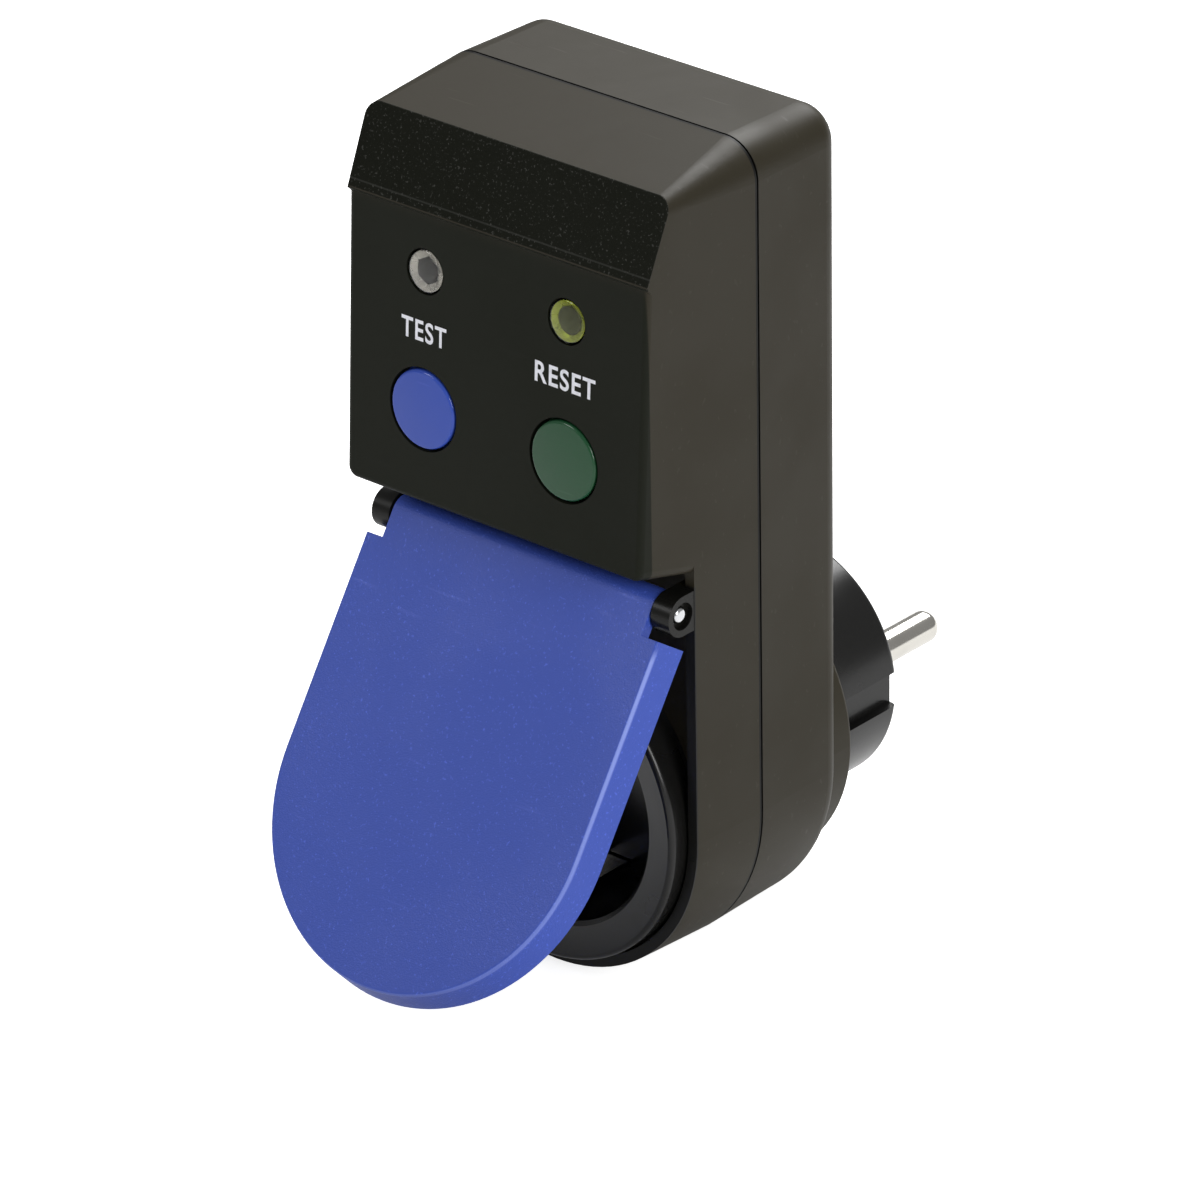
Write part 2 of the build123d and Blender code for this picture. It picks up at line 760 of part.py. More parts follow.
def outlet_insert():
    """Outlet cup with its raised collar, guide ribs, contact holes and receptacle towers."""
    gasket_top = pocket_floor_forward + outlet_gasket_thickness
    mouth_forward = collar_forward - collar_dish
    lip = collar_lip_radius
    lean = lip * (1 - cos(radians(45)))
    section = [
        Line((0, cup_back_forward), (cup_radius, cup_back_forward)),
        Line((cup_radius, cup_back_forward), (cup_radius, gasket_top)),
        Line((cup_radius, gasket_top), (collar_radius, gasket_top)),
        Line((collar_radius, gasket_top), (collar_radius, collar_forward - lip)),
        ThreePointArc(
            (collar_radius, collar_forward - lip),
            (collar_radius - lean, collar_forward - lean),
            (collar_radius - lip, collar_forward),
        ),
        Line((collar_radius - lip, collar_forward), (recess_radius + collar_mouth_chamfer, mouth_forward)),
        Line(
            (recess_radius + collar_mouth_chamfer, mouth_forward),
            (recess_radius, mouth_forward - collar_mouth_chamfer),
        ),
        Line((recess_radius, mouth_forward - collar_mouth_chamfer), (recess_radius, recess_floor_forward)),
        Line((recess_radius, recess_floor_forward), (0, recess_floor_forward)),
        Line((0, recess_floor_forward), (0, cup_back_forward)),
    ]
    cup = revolve(Plane.XZ * make_face(section), axis=Axis.Z)
    tower_bore = receptacle_radius + slack
    slot = clip_width / 2 + seat
    clip_outer = recess_radius - clip_wall_gap
    for side in (-1, 1):
        edges = sorted((side * (recess_radius - guide_rib_height), side * (recess_radius + slack)))
        rib_top = collar_forward - guide_rib_top_drop
        rib_half = guide_rib_width / 2
        rib = block(edges[0], edges[1], -rib_half, rib_half, recess_floor_forward, rib_top)
        tower_end = cup_back_forward - tower_length
        tower = tube(tower_bore + tower_wall, tower_bore, tower_end, cup_back_forward, side * pin_x)
        cup = cup + rib + tower
        cup = cup - rod(receptacle_bore, cup_back_forward - overshoot, collar_forward, side * pin_x)
        edges = sorted((side * (clip_outer - clip_strip - seat), side * (clip_outer + seat)))
        floor_low = cup_back_forward - overshoot
        cup = cup - block(-slot, slot, edges[0], edges[1], floor_low, recess_floor_forward + slack)
    for x, z in ring_places(outlet_screw_circle):
        bite = gasket_top + outlet_screw_bite + seat
        cup = cup - rod(outlet_screw_radius + running, gasket_top - slack, bite, x, z)
    return housing_frame * cup


def outlet_gasket():
    """Flat seal between the collar and the pocket floor."""
    top = pocket_floor_forward + outlet_gasket_thickness
    seal = tube(collar_radius - slack, cup_radius + fit + slack, pocket_floor_forward, top)
    for x, z in ring_places(outlet_screw_circle):
        low, high = pocket_floor_forward - overshoot, top + overshoot
        seal = seal - rod(outlet_screw_radius + slack, low, high, x, z)
    return housing_frame * seal


def outlet_screws():
    """Four small screws that pull the collar on to its gasket from inside."""
    seat_level = pocket_floor_forward - wall
    tip = pocket_floor_forward + outlet_gasket_thickness + outlet_screw_bite
    group = screws(
        ring_places(outlet_screw_circle),
        outlet_screw_radius,
        outlet_screw_head_radius,
        outlet_screw_head,
        seat_level,
        tip,
    )
    return [housing_frame * screw for screw in group]


def receptacle(side):
    """Slit contact sleeve behind one hole of the outlet, with a tab for its wire."""
    top = cup_back_forward - slack
    low = top - receptacle_length
    sleeve = tube(receptacle_radius, receptacle_bore, low, top, side * pin_x)
    slit = receptacle_slit / 2
    x = side * pin_x
    below = -receptacle_radius - overshoot
    sleeve = sleeve - block(x - slit, x + slit, below, 0, low - overshoot, top + overshoot)
    half = receptacle_tab_width / 2
    tab = tube(receptacle_radius, receptacle_bore, low - receptacle_tab_length, low, x)
    tab = tab & block(x - half, x + half, 0, receptacle_radius, low - receptacle_tab_length, low)
    return housing_frame * (sleeve + tab)


def outlet_earth_clips():
    """Two sprung earth clips that stand in the recess, joined behind its floor."""
    half = clip_width / 2
    outer = recess_radius - clip_wall_gap
    bar_high = cup_back_forward - fit
    clips = block(-half, half, -outer, outer, bar_high - clip_strip, bar_high)
    for side in (-1, 1):
        edges = sorted((side * (outer - clip_strip), side * outer))
        top = collar_forward - clip_top_drop
        clips = clips + block(-half, half, edges[0], edges[1], bar_high - clip_strip, top)
        bump = cross_rod(clip_bump_radius, -half, half, side * (outer - clip_strip), top - clip_bump_drop)
        limits = sorted((0, side * (outer - clip_strip / 2)))
        keep = block(-half, half, limits[0], limits[1], 0, collar_forward)
        clips = clips + (bump & keep)
    return housing_frame * clips


def earth_link():
    """Stiff link between the outlet's earth clips and the plug's earth strap."""
    low = plug_flange_front + plug_earth_bar_gap + earth_strip
    high = cup_back_forward - fit - clip_strip
    return housing_frame * rod(earth_link_radius, low, high, 0, earth_link_z)


def lid_outline(side, top):
    """Outline of the lid in its own frame: straight sides down to a half round."""
    low = -hinge_z
    return make_face(
        [
            ThreePointArc((-side, low), (0, low - side), (side, low)),
            Line((side, low), (side, top)),
            Line((side, top), (-side, top)),
            Line((-side, top), (-side, low)),
        ]
    )


def lid_form(inset, top, front, back):
    """Flared block of the lid between two heights over the hinge axis."""

    def section(height):
        flare = lid_flare * (lid_front_height - height) / lid_depth
        return Pos(0, 0, height) * lid_outline(lid_half_width + flare - inset, top)

    return loft([section(front), section(back)], ruled=True)


def lid():
    """Hinged lid: a plate with a flared skirt, two shoulders beside the ears and a knuckle."""
    back = lid_front_height - lid_depth
    plate_inner = lid_front_height - lid_plate
    body = lid_form(0, -lid_shoulder, lid_front_height, back)
    front_edges = body.faces().sort_by(Axis.Z)[-1].edges().sort_by(Axis.Y)[:-1]
    body = fillet(front_edges, lid_edge_radius)
    hollow = lid_form(lid_wall, 0, plate_inner, back - overshoot)
    knuckle_x = ear_inner_x - knuckle_side_gap
    reach = lid_front_height + overshoot
    corners = block(knuckle_x, lid_half_width * 2, -lid_shoulder, 0, back - overshoot, reach)
    body = body - hollow - corners
    neck = block(-knuckle_x, knuckle_x, -lid_shoulder - overshoot, 0, plate_inner, lid_front_height)
    body = body + neck + cross_rod(lid_front_height, -knuckle_x, knuckle_x, 0, 0)
    end = knuckle_x + overshoot
    body = body - cross_rod(hinge_pin_radius + knuckle_running, -end, end, 0, 0)
    window = spring_length / 2 + spring_side_gap
    spring_radius = hinge_pin_radius + slack + spring_wire
    body = body - cross_rod(spring_radius + seat, -window, window, 0, 0)
    body = body - block(-window, window, -lid_front_height, reach, -reach, plate_inner)
    return lid_frame * body


def hinge_pin():
    """Steel hinge pin with domed ends that show in the ears."""
    end = ear_outer_x - hinge_pin_end_drop
    pin = cross_rod(hinge_pin_radius, -end, end, hinge_z, hinge_forward)
    return housing_frame * fillet(pin.edges().filter_by(GeomType.CIRCLE), hinge_pin_dome)


def lid_spring():
    """Closing spring on the hinge pin, as a sleeve with its leg down to the pocket floor."""
    inner = hinge_pin_radius + slack
    outer = inner + spring_wire
    half = spring_length / 2
    body = cross_rod(outer, -half, half, hinge_z, hinge_forward)
    clear = cross_rod(inner, -half - overshoot, half + overshoot, hinge_z, hinge_forward)
    body = body - clear
    lean = radians(spring_leg_angle)
    length = (hinge_forward - pocket_floor_forward - fit) / cos(lean) - inner
    radius = spring_wire / 2
    start = Vector(half - radius, hinge_z - inner * sin(lean), hinge_forward - inner * cos(lean))
    leg = Plane(origin=start, z_dir=(0, -sin(lean), -cos(lean))) * Cylinder(radius, length, align=base_align)
    return housing_frame * (body + (leg - clear))


def button(side, stem_end):
    """Push button with a domed cap, a flange behind the panel and a stem."""
    flange_top = wall + seat
    flange_back = flange_top + button_flange
    edge = button_edge_depth
    radius = button_radius
    bend = button_edge_radius
    lean = bend * (1 - cos(radians(45)))
    crown = edge - bend
    middle = (radius - bend) / 2
    sag = crown - (button_rise + crown) * dome_middle_share
    section = [
        ThreePointArc((0, -button_rise), (middle, sag), (radius - bend, crown)),
        ThreePointArc((radius - bend, crown), (radius - lean, crown + lean), (radius, edge)),
        Line((radius, edge), (radius, flange_top)),
        Line((radius, flange_top), (radius + button_flange_margin, flange_top)),
        Line((radius + button_flange_margin, flange_top), (radius + button_flange_margin, flange_back)),
        Line((radius + button_flange_margin, flange_back), (button_stem_radius, flange_back)),
        Line((button_stem_radius, flange_back), (button_stem_radius, stem_end)),
        Line((button_stem_radius, stem_end), (0, stem_end)),
        Line((0, stem_end), (0, -button_rise)),
    ]
    cap = revolve(Plane.XZ * make_face(section), axis=Axis.Z)
    return panel_frame * Pos(side * button_x, 0, 0) * cap


def button_spring(side):
    """Return spring of a button, as a sleeve between its flange and the board."""
    inner = button_stem_radius + button_spring_gap
    low = wall + seat + button_flange
    return panel_frame * tube(inner + button_spring_wall, inner, low, board_depth, side * button_x)


def lens(side):
    """Clear indicator lens, flanged behind the panel."""
    flange_top = wall + seat
    flange_back = flange_top + lens_flange
    flange_radius = lens_radius + lens_flange_margin
    section = [
        ThreePointArc(
            (0, lens_sink - lens_dome),
            (lens_radius / 2, lens_sink - lens_dome * dome_middle_share),
            (lens_radius, lens_sink),
        ),
        Line((lens_radius, lens_sink), (lens_radius, flange_top)),
        Line((lens_radius, flange_top), (flange_radius, flange_top)),
        Line((flange_radius, flange_top), (flange_radius, flange_back)),
        Line((flange_radius, flange_back), (lens_radius, flange_back)),
        Line((lens_radius, flange_back), (lens_radius, lens_depth)),
        Line((lens_radius, lens_depth), (0, lens_depth)),
        Line((0, lens_depth), (0, lens_sink - lens_dome)),
    ]
    body = revolve(Plane.XZ * make_face(section), axis=Axis.Z)
    return panel_frame * Pos(side * button_x, -indicator_row_rise, 0) * body


def indicator_led(side):
    """Light-emitting diode behind a lens, standing on its two leads."""
    low = lens_depth + seat
    x, y = side * button_x, -indicator_row_rise
    body = rod(led_radius, low, low + led_length, x, y)
    body = fillet(body.edges().sort_by(Axis.Z)[0], led_dome_radius)
    for way in (-1, 1):
        body = body + rod(led_lead_radius, low + led_length, board_depth, x + way * led_lead_pitch / 2, y)
    return panel_frame * body


def circuit_board():
    """Printed circuit board between the front posts and the mechanism base."""
    board = block(-board_half_width, board_half_width, -board_rise, board_fall, board_depth, board_back)
    low, high = board_depth - overshoot, board_back + overshoot
    board = board - rod(button_stem_radius + 2 * seat, low, high, button_x)
    for x, y in post_places():
        board = board - rod(housing_screw_radius + fit, low, high, x, y)
    return panel_frame * board


def contact_places():
    """Places of the fixed contacts as (x, down): line pair first, then neutral pair."""
    return [
        [(button_x + way * bridge_pitch / 2, row) for row in (contact_row, -contact_row)] for way in (-1, 1)
    ]


def mechanism_base():
    """Moulded base of the mechanism: plate, posts, carriage guides, contact posts and latch ears."""
    plate = block(-base_half_width, base_half_width, -board_rise + seat, board_fall, base_depth, base_back)
    for x, y in post_places():
        plate = plate + rod(post_radius, board_back, base_depth, x, y)
        plate = plate - rod(housing_screw_radius + slack, board_back - overshoot, base_back + overshoot, x, y)
    contact_back = contact_depth + bridge_thickness
    half = bridge_width / 2
    for pair in contact_places():
        for x, y in pair:
            low, high = y - contact_height / 2, y + contact_height / 2
            plate = plate + block(x - half, x + half, low, high, contact_back, base_depth)
    half = guide_post_width / 2
    near = carriage_half_height + seat
    far = near + guide_post_thickness
    for low, high in ((-far, -near), (near, far)):
        guide = block(button_x - half, button_x + half, low, high, carriage_depth - overshoot, base_depth)
        plate = plate + guide
    near = latch_half_width + seat
    far = near + latch_ear
    width = latch_pin_radius + latch_ear
    for low, high in ((-far, -near), (near, far)):
        plate = plate + block(-width, width, low, high, latch_pivot_depth - width, base_depth)
    bore = down_rod(latch_pin_radius + running, 0, -far - overshoot, far + overshoot, latch_pivot_depth)
    return panel_frame * (plate - bore)


def mechanism_screws():
    """Four long screws that clamp the mechanism base and the board to the front posts."""
    tip = board_depth - board_screw_bite
    group = screws(
        post_places(),
        housing_screw_radius,
        board_screw_head_radius,
        board_screw_head,
        base_back,
        tip,
    )
    return [panel_frame * screw for screw in group]


def contact_carriage():
    """Sliding carriage that the reset button carries, with slots for the contact bridges."""
    half = carriage_half_width
    height = carriage_half_height
    body = block(button_x - half, button_x + half, -height, height, carriage_depth, carriage_back)
    for bridge in contact_bridge_bars(slack):
        body = body - bridge
    return panel_frame * body


def contact_bridge_bars(margin):
    """Bars of the two moving contacts, with a margin all round for their slots."""
    half = bridge_width / 2 + margin
    bars = []
    for way in (-1, 1):
        x = button_x + way * bridge_pitch / 2
        low = bridge_depth - margin
        high = bridge_depth + bridge_thickness + margin
        bars.append(block(x - half, x + half, -bridge_half_length, bridge_half_length, low, high))
    return bars


def contact_bridges():
    """Two moving contact bridges that ride in the carriage."""
    return [panel_frame * bar for bar in contact_bridge_bars(0)]


def fixed_contacts(pair):
    """Feed and load contact of one pole, each with its pad."""
    contacts = []
    half = bridge_width / 2
    for x, y in pair:
        low, high = y - contact_height / 2, y + contact_height / 2
        strip = block(x - half, x + half, low, high, contact_depth, contact_depth + bridge_thickness)
        pad = rod(contact_pad_radius, contact_depth - contact_pad_height, contact_depth, x, y)
        contacts.append(panel_frame * (strip + pad))
    return contacts


def carriage_spring():
    """Opening spring between the carriage and the mechanism base, as a sleeve."""
    outer = carriage_spring_radius
    return panel_frame * tube(outer, outer - carriage_spring_wall, carriage_back, base_depth, button_x)


def test_contact():
    """Domed test contact on the board, inside the foot of the test button's spring."""
    foot_low = board_depth - test_contact_foot
    foot = rod(test_contact_radius, foot_low, board_depth, -button_x)
    dome = rod(test_contact_dome_radius, board_depth - test_contact_height, foot_low, -button_x)
    return panel_frame * (foot + fillet(dome.edges().sort_by(Axis.Z)[0], test_contact_edge_radius))


def coil_bobbin():
    """Bobbin of the trip coil."""
    inner = plunger_radius + fit
    body = cross_rod(inner + bobbin_wall, coil_left, coil_right, 0, coil_depth)
    body = body + cross_rod(bobbin_flange_radius, coil_left, coil_left + bobbin_flange, 0, coil_depth)
    body = body + cross_rod(bobbin_flange_radius, coil_right - bobbin_flange, coil_right, 0, coil_depth)
    low, high = coil_left - overshoot, coil_right + overshoot
    return panel_frame * (body - cross_rod(inner, low, high, 0, coil_depth))


def coil_winding():
    """Enamelled winding of the trip coil."""
    low, high = coil_left + bobbin_flange, coil_right - bobbin_flange
    body = cross_rod(winding_radius, low, high, 0, coil_depth)
    inner = plunger_radius + fit + bobbin_wall
    return panel_frame * (body - cross_rod(inner, low - overshoot, high + overshoot, 0, coil_depth))


def coil_yoke():
    """Steel yoke round the trip coil, standing on the mechanism base."""
    left, right = coil_floor, coil_right + slack
    half = latch_half_width + overshoot
    top = coil_depth - plunger_radius - bobbin_wall - overshoot
    yoke = block(left - yoke_plate, right + yoke_plate, -half, half, base_depth - yoke_plate, base_depth)
    yoke = yoke + block(left - yoke_plate, left, -half, half, top, base_depth)
    yoke = yoke + block(right, right + yoke_plate, -half, half, top, base_depth)
    hole_end = right + yoke_plate + overshoot
    hole = cross_rod(plunger_tip_radius + fit, right - overshoot, hole_end, 0, coil_depth)
    return panel_frame * (yoke - hole)


def latch_head_x():
    """Centre of the plunger's round head beyond the latch lever."""
    return latch_thickness / 2 + seat + plunger_head_radius


def trip_plunger():
    """Plunger of the trip coil with a thin tip and a round head through the latch lever."""
    body = cross_rod(plunger_radius, plunger_left, plunger_shoulder, 0, coil_depth)
    body = body + cross_rod(plunger_tip_radius, plunger_shoulder, latch_head_x(), 0, coil_depth)
    return panel_frame * (body + Pos(latch_head_x(), 0, coil_depth) * Sphere(plunger_head_radius))


def plunger_spring():
    """Return spring of the plunger, as a sleeve between its end and the yoke's left plate."""
    outer = plunger_radius - slack
    inner = outer - plunger_spring_wall
    low, high = coil_floor + running, plunger_left - running
    body = cross_rod(outer, low, high, 0, coil_depth)
    return panel_frame * (body - cross_rod(inner, low - overshoot, high + overshoot, 0, coil_depth))


def latch_lever():
    """Latch lever with its nose beside the carriage and an eye for the plunger."""
    half = latch_thickness / 2
    width = latch_half_width
    body = block(-half, half, -width, width, latch_top_depth, latch_pivot_depth + latch_tail)
    nose = block(half, latch_nose_reach, -width, width, latch_top_depth, latch_top_depth + latch_nose_height)
    knob = down_rod(latch_tail, 0, -width, width, latch_pivot_depth)
    body = body + nose + knob
    body = body - cross_rod(latch_eye_radius, -half - overshoot, half + overshoot, 0, coil_depth)
    reach = width + overshoot
    bore = down_rod(latch_pin_radius + running, 0, -reach, reach, latch_pivot_depth)
    return panel_frame * (body - bore)


def latch_pin():
    """Pivot pin of the latch lever."""
    reach = latch_half_width + seat + latch_ear
    return panel_frame * down_rod(latch_pin_radius, 0, -reach, reach, latch_pivot_depth)


def transformer_ring(outer, inner, margin):
    """Ring about the vertical through the transformer's centre."""
    low = transformer_low_z + margin
    height = transformer_height - 2 * margin
    place = Pos(0, seam_y - transformer_forward, low)
    ring = place * Cylinder(outer, height, align=base_align)
    return ring - place * Cylinder(inner, height, align=base_align)


def transformer_core():
    """Ring core of the summing transformer."""
    return transformer_ring(
        transformer_radius - transformer_jacket, transformer_bore + transformer_jacket, transformer_jacket
    )


def transformer_winding():
    """Taped winding round most of the core; a window in front leaves the core in sight."""
    jacket = transformer_ring(transformer_radius, transformer_bore, 0)
    core = transformer_ring(
        transformer_radius - transformer_jacket, transformer_bore + transformer_jacket, transformer_jacket
    )
    place = Pos(0, seam_y - transformer_forward, transformer_low_z)
    half = transformer_window / 2
    reach = transformer_radius + overshoot
    wedge = Cylinder(reach, transformer_height, arc_size=transformer_window, align=base_align)
    return jacket - core - place * Rot(0, 0, -90 - half) * wedge


def panel_point(x, down, depth):
    """A point of the panel's frame in the housing's frame."""
    point = panel_frame.from_local_coords((x, down, depth))
    return (point.X, point.Z, seam_y - point.Y)


def feed_wire(side):
    """Wire from a plug pin up through the transformer to the feed contact of its pole."""
    x = side * pin_x
    start = plug_end_forward + plug_end_wall + pin_collar_length
    contact_x = contact_places()[0 if side < 0 else 1][0][0]
    depth = contact_depth + bridge_thickness / 2
    end = panel_point(contact_x, contact_row + contact_height / 2 + fit, depth)
    turn_z = transformer_low_z + transformer_height + (feed_turn_rise if side > 0 else 2 * feed_turn_rise)
    under_z = transformer_low_z - wire_lead
    over_flange = plug_flange_front + plug_earth_bar_gap + wire_lead
    return bent_wire(
        [
            (x, 0, start),
            (x, 0, start + wire_lead),
            (x, feed_run_z, start + 2 * wire_lead),
            (x, feed_run_z, over_flange),
            (x, under_z, over_flange),
            (side * feed_wire_half_gap, under_z, transformer_forward),
            (side * feed_wire_half_gap, turn_z, transformer_forward),
            (contact_x, turn_z, end[2]),
            end,
        ]
    )


def load_wire(side):
    """Wire from a load contact down behind the mechanism base to the outlet's receptacle."""
    contact_x = contact_places()[0 if side < 0 else 1][1][0]
    behind = base_back + wire_radius + fit
    tab_middle = cup_back_forward - slack - receptacle_length - receptacle_tab_length / 2
    run_x = load_wire_x * side
    top = panel_point(contact_x, -contact_row, behind)
    low = panel_point(contact_x, board_fall, behind)
    over_flange = plug_flange_front + plug_screw_head / 2 + wire_radius
    tab_z = receptacle_radius + wire_radius + running
    return bent_wire(
        [
            top,
            low,
            (run_x, transformer_low_z + transformer_height + overshoot, low[2]),
            (run_x, transformer_low_z - wire_lead, over_flange),
            (run_x, load_run_z, over_flange),
            (run_x, load_run_z, tab_middle),
            (side * pin_x, tab_z, tab_middle),
        ]
    )


def varistor():
    """Disc varistor across the supply."""
    disc = rod(varistor_radius, board_depth - varistor_height, board_depth, 0, -varistor_rise)
    return panel_frame * fillet(disc.edges().filter_by(GeomType.CIRCLE), part_edge_radius)


def film_capacitor():
    """Box-shaped film capacitor."""
    half_length = capacitor_length / 2
    low, high = -capacitor_rise - capacitor_width / 2, -capacitor_rise + capacitor_width / 2
    box = block(-half_length, half_length, low, high, board_depth - capacitor_height, board_depth)
    return panel_frame * fillet(box.edges().filter_by(Axis.Z), part_edge_radius)


def control_chip():
    """Residual-current controller chip on two rows of bent legs."""
    half_length = chip_length / 2
    half = chip_width / 2
    top = board_depth - chip_stand_off - chip_height
    body = block(-half_length, half_length, chip_fall - half, chip_fall + half, top, top + chip_height)
    level = top + chip_height / 2
    reach = half + chip_leg_reach
    for index in range(chip_leg_count):
        x = (index - (chip_leg_count - 1) / 2) * chip_leg_pitch
        low, high = x - chip_leg_width / 2, x + chip_leg_width / 2
        shoulder = level + chip_leg_thickness
        body = body + block(low, high, chip_fall - reach, chip_fall + reach, level, shoulder)
        for way in (-1, 1):
            edges = sorted((chip_fall + way * (reach - chip_leg_thickness), chip_fall + way * reach))
            body = body + block(low, high, edges[0], edges[1], level, board_depth)
    return panel_frame * body


def resistors():
    """Row of resistors lying on the board."""
    group = []
    for index in range(resistor_count):
        down = index * resistor_pitch - resistor_first_rise
        depth = board_depth - resistor_radius
        body = cross_rod(resistor_radius, resistor_left, resistor_left + resistor_length, down, depth)
        group.append(panel_frame * body)
    return group


def write(name, shape):
    """Writes one node as its own STEP file."""
    solids = shape if isinstance(shape, list) else [shape]
    whole = Compound(children=[solid for piece in solids for solid in piece.solids()])
    export_step(whole, f"parts/{name}.step")


def main():
    """Builds every piece and writes it."""
    os.makedirs("parts", exist_ok=True)
    line_places, neutral_places = contact_places()
    test_stem_end = board_depth - test_contact_height - button_travel - seat
    reset_stem_end = carriage_depth - seat
    nodes = {
        "front_housing": front_housing(),
        "rear_housing": rear_housing(),
        "housing_gasket": housing_gasket(),
        "housing_screws": housing_screws(),
        "plug_base": plug_base(),
        "plug_base_screws": plug_base_screws(),
        "line_pin": plug_pin(-1),
        "neutral_pin": plug_pin(1),
        "plug_earth_strap": plug_earth_strap(),
        "outlet_insert": outlet_insert(),
        "outlet_gasket": outlet_gasket(),
        "outlet_screws": outlet_screws(),
        "line_receptacle": receptacle(-1),
        "neutral_receptacle": receptacle(1),
        "outlet_earth_clips": outlet_earth_clips(),
        "earth_link": earth_link(),
        "lid": lid(),
        "hinge_pin": hinge_pin(),
        "lid_spring": lid_spring(),
        "test_button": button(-1, test_stem_end),
        "reset_button": button(1, reset_stem_end),
        "test_button_spring": button_spring(-1),
        "reset_button_spring": button_spring(1),
        "test_lens": lens(-1),
        "reset_lens": lens(1),
        "indicator_leds": both_sides(indicator_led),
        "circuit_board": circuit_board(),
        "mechanism_base": mechanism_base(),
        "mechanism_screws": mechanism_screws(),
        "contact_carriage": contact_carriage(),
        "contact_bridges": contact_bridges(),
        "line_contacts": fixed_contacts(line_places),
        "neutral_contacts": fixed_contacts(neutral_places),
        "carriage_spring": carriage_spring(),
        "test_contact": test_contact(),
        "coil_bobbin": coil_bobbin(),
        "coil_winding": coil_winding(),
        "coil_yoke": coil_yoke(),
        "trip_plunger": trip_plunger(),
        "plunger_spring": plunger_spring(),
        "latch_lever": latch_lever(),
        "latch_pin": latch_pin(),
        "transformer_core": transformer_core(),
        "transformer_winding": transformer_winding(),
        "line_feed_wire": feed_wire(-1),
        "neutral_feed_wire": feed_wire(1),
        "line_load_wire": load_wire(-1),
        "neutral_load_wire": load_wire(1),
        "varistor": varistor(),
        "film_capacitor": film_capacitor(),
        "control_chip": control_chip(),
        "resistors": resistors(),
    }
    for name, shape in nodes.items():
        write(name, shape)


main()
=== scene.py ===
"""Looks of a plug-in residual-current adapter: finishes, fine pieces, light and camera, in metres."""

import logging
from dataclasses import dataclass
from enum import Enum
from math import cos, pi, radians, sin
from typing import Optional, Sequence

import bmesh
import bpy
import numpy as np
from mathutils import Matrix, Vector


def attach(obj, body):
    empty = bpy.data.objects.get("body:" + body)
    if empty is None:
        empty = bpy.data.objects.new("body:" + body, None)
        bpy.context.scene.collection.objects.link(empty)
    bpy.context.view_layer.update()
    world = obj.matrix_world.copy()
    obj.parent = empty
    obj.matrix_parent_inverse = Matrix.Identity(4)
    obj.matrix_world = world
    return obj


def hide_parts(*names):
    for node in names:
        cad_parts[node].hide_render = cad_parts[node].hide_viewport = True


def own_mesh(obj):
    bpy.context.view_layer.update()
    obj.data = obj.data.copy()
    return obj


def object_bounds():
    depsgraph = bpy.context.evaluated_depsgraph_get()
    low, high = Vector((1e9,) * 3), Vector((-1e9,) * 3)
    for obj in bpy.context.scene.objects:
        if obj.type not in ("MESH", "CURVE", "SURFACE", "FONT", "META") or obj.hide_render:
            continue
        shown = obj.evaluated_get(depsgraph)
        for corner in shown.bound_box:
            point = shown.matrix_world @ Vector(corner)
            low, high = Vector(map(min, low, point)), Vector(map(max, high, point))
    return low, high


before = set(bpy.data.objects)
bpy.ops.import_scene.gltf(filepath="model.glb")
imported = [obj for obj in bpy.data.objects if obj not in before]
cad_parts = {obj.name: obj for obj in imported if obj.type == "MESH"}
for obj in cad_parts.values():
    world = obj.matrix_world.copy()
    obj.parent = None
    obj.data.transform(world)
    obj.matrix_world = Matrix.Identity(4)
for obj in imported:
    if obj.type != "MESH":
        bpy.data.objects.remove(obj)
cad_low, cad_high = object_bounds()

LOG = logging.getLogger("adapter")
MM = 0.001
EVEN = (1.0, 1.0, 1.0)

Colour = tuple[float, float, float, float]
Socket = bpy.types.NodeSocket


class Way(Enum):
    """Side of the adapter, seen from its front."""

    LEFT = -1
    RIGHT = 1


@dataclass(frozen=True)
class Axes:
    """A right-handed frame: an origin and three unit directions, in metres."""

    origin: np.ndarray
    x: np.ndarray
    y: np.ndarray
    z: np.ndarray

    def place(self, points: np.ndarray) -> np.ndarray:
        """Moves points from this frame to the row's frame.

        Args:
            points: array of (..., 3) places in this frame.

        Returns:
            The same array shape in the row's frame: origin plus each coordinate times its axis.
        """
        return self.origin + points[..., :1] * self.x + points[..., 1:2] * self.y + points[..., 2:3] * self.z

    def moved(self, x: float, y: float, z: float) -> "Axes":
        """The same directions about an origin moved by (x, y, z) in this frame."""
        return Axes(self.place(np.array([x, y, z])), self.x, self.y, self.z)


@dataclass(frozen=True)
class Layout:
    """Driving places of the adapter that the fine pieces are set out from."""

    seam_y: float = -40.9 * MM
    panel_forward: float = 23.0225 * MM
    button_row_z: float = 58.1 * MM
    panel_tilt: float = 0.0560835
    button_x: float = 12.7956 * MM
    indicator_rise: float = 20.3 * MM
    hinge_forward: float = 15.55 * MM
    hinge_z: float = 36.3 * MM
    board_depth: float = 14.0 * MM

    def panel(self) -> Axes:
        """Frame on the panel.

        Returns:
            Axes with x to the right, y down the panel and z into the housing.
        """
        origin = np.array([0.0, self.seam_y - self.panel_forward, self.button_row_z])
        down = np.array([0.0, -sin(self.panel_tilt), -cos(self.panel_tilt)])
        inward = np.array([0.0, cos(self.panel_tilt), -sin(self.panel_tilt)])
        return Axes(origin, np.array([1.0, 0.0, 0.0]), down, inward)

    def hinge(self) -> Axes:
        """Frame on the hinge pin: z along the pin, x up, y away from the wall."""
        origin = np.array([0.0, self.seam_y - self.hinge_forward, self.hinge_z])
        return Axes(origin, np.array([0.0, 0.0, 1.0]), np.array([0.0, -1.0, 0.0]), np.array([1.0, 0.0, 0.0]))


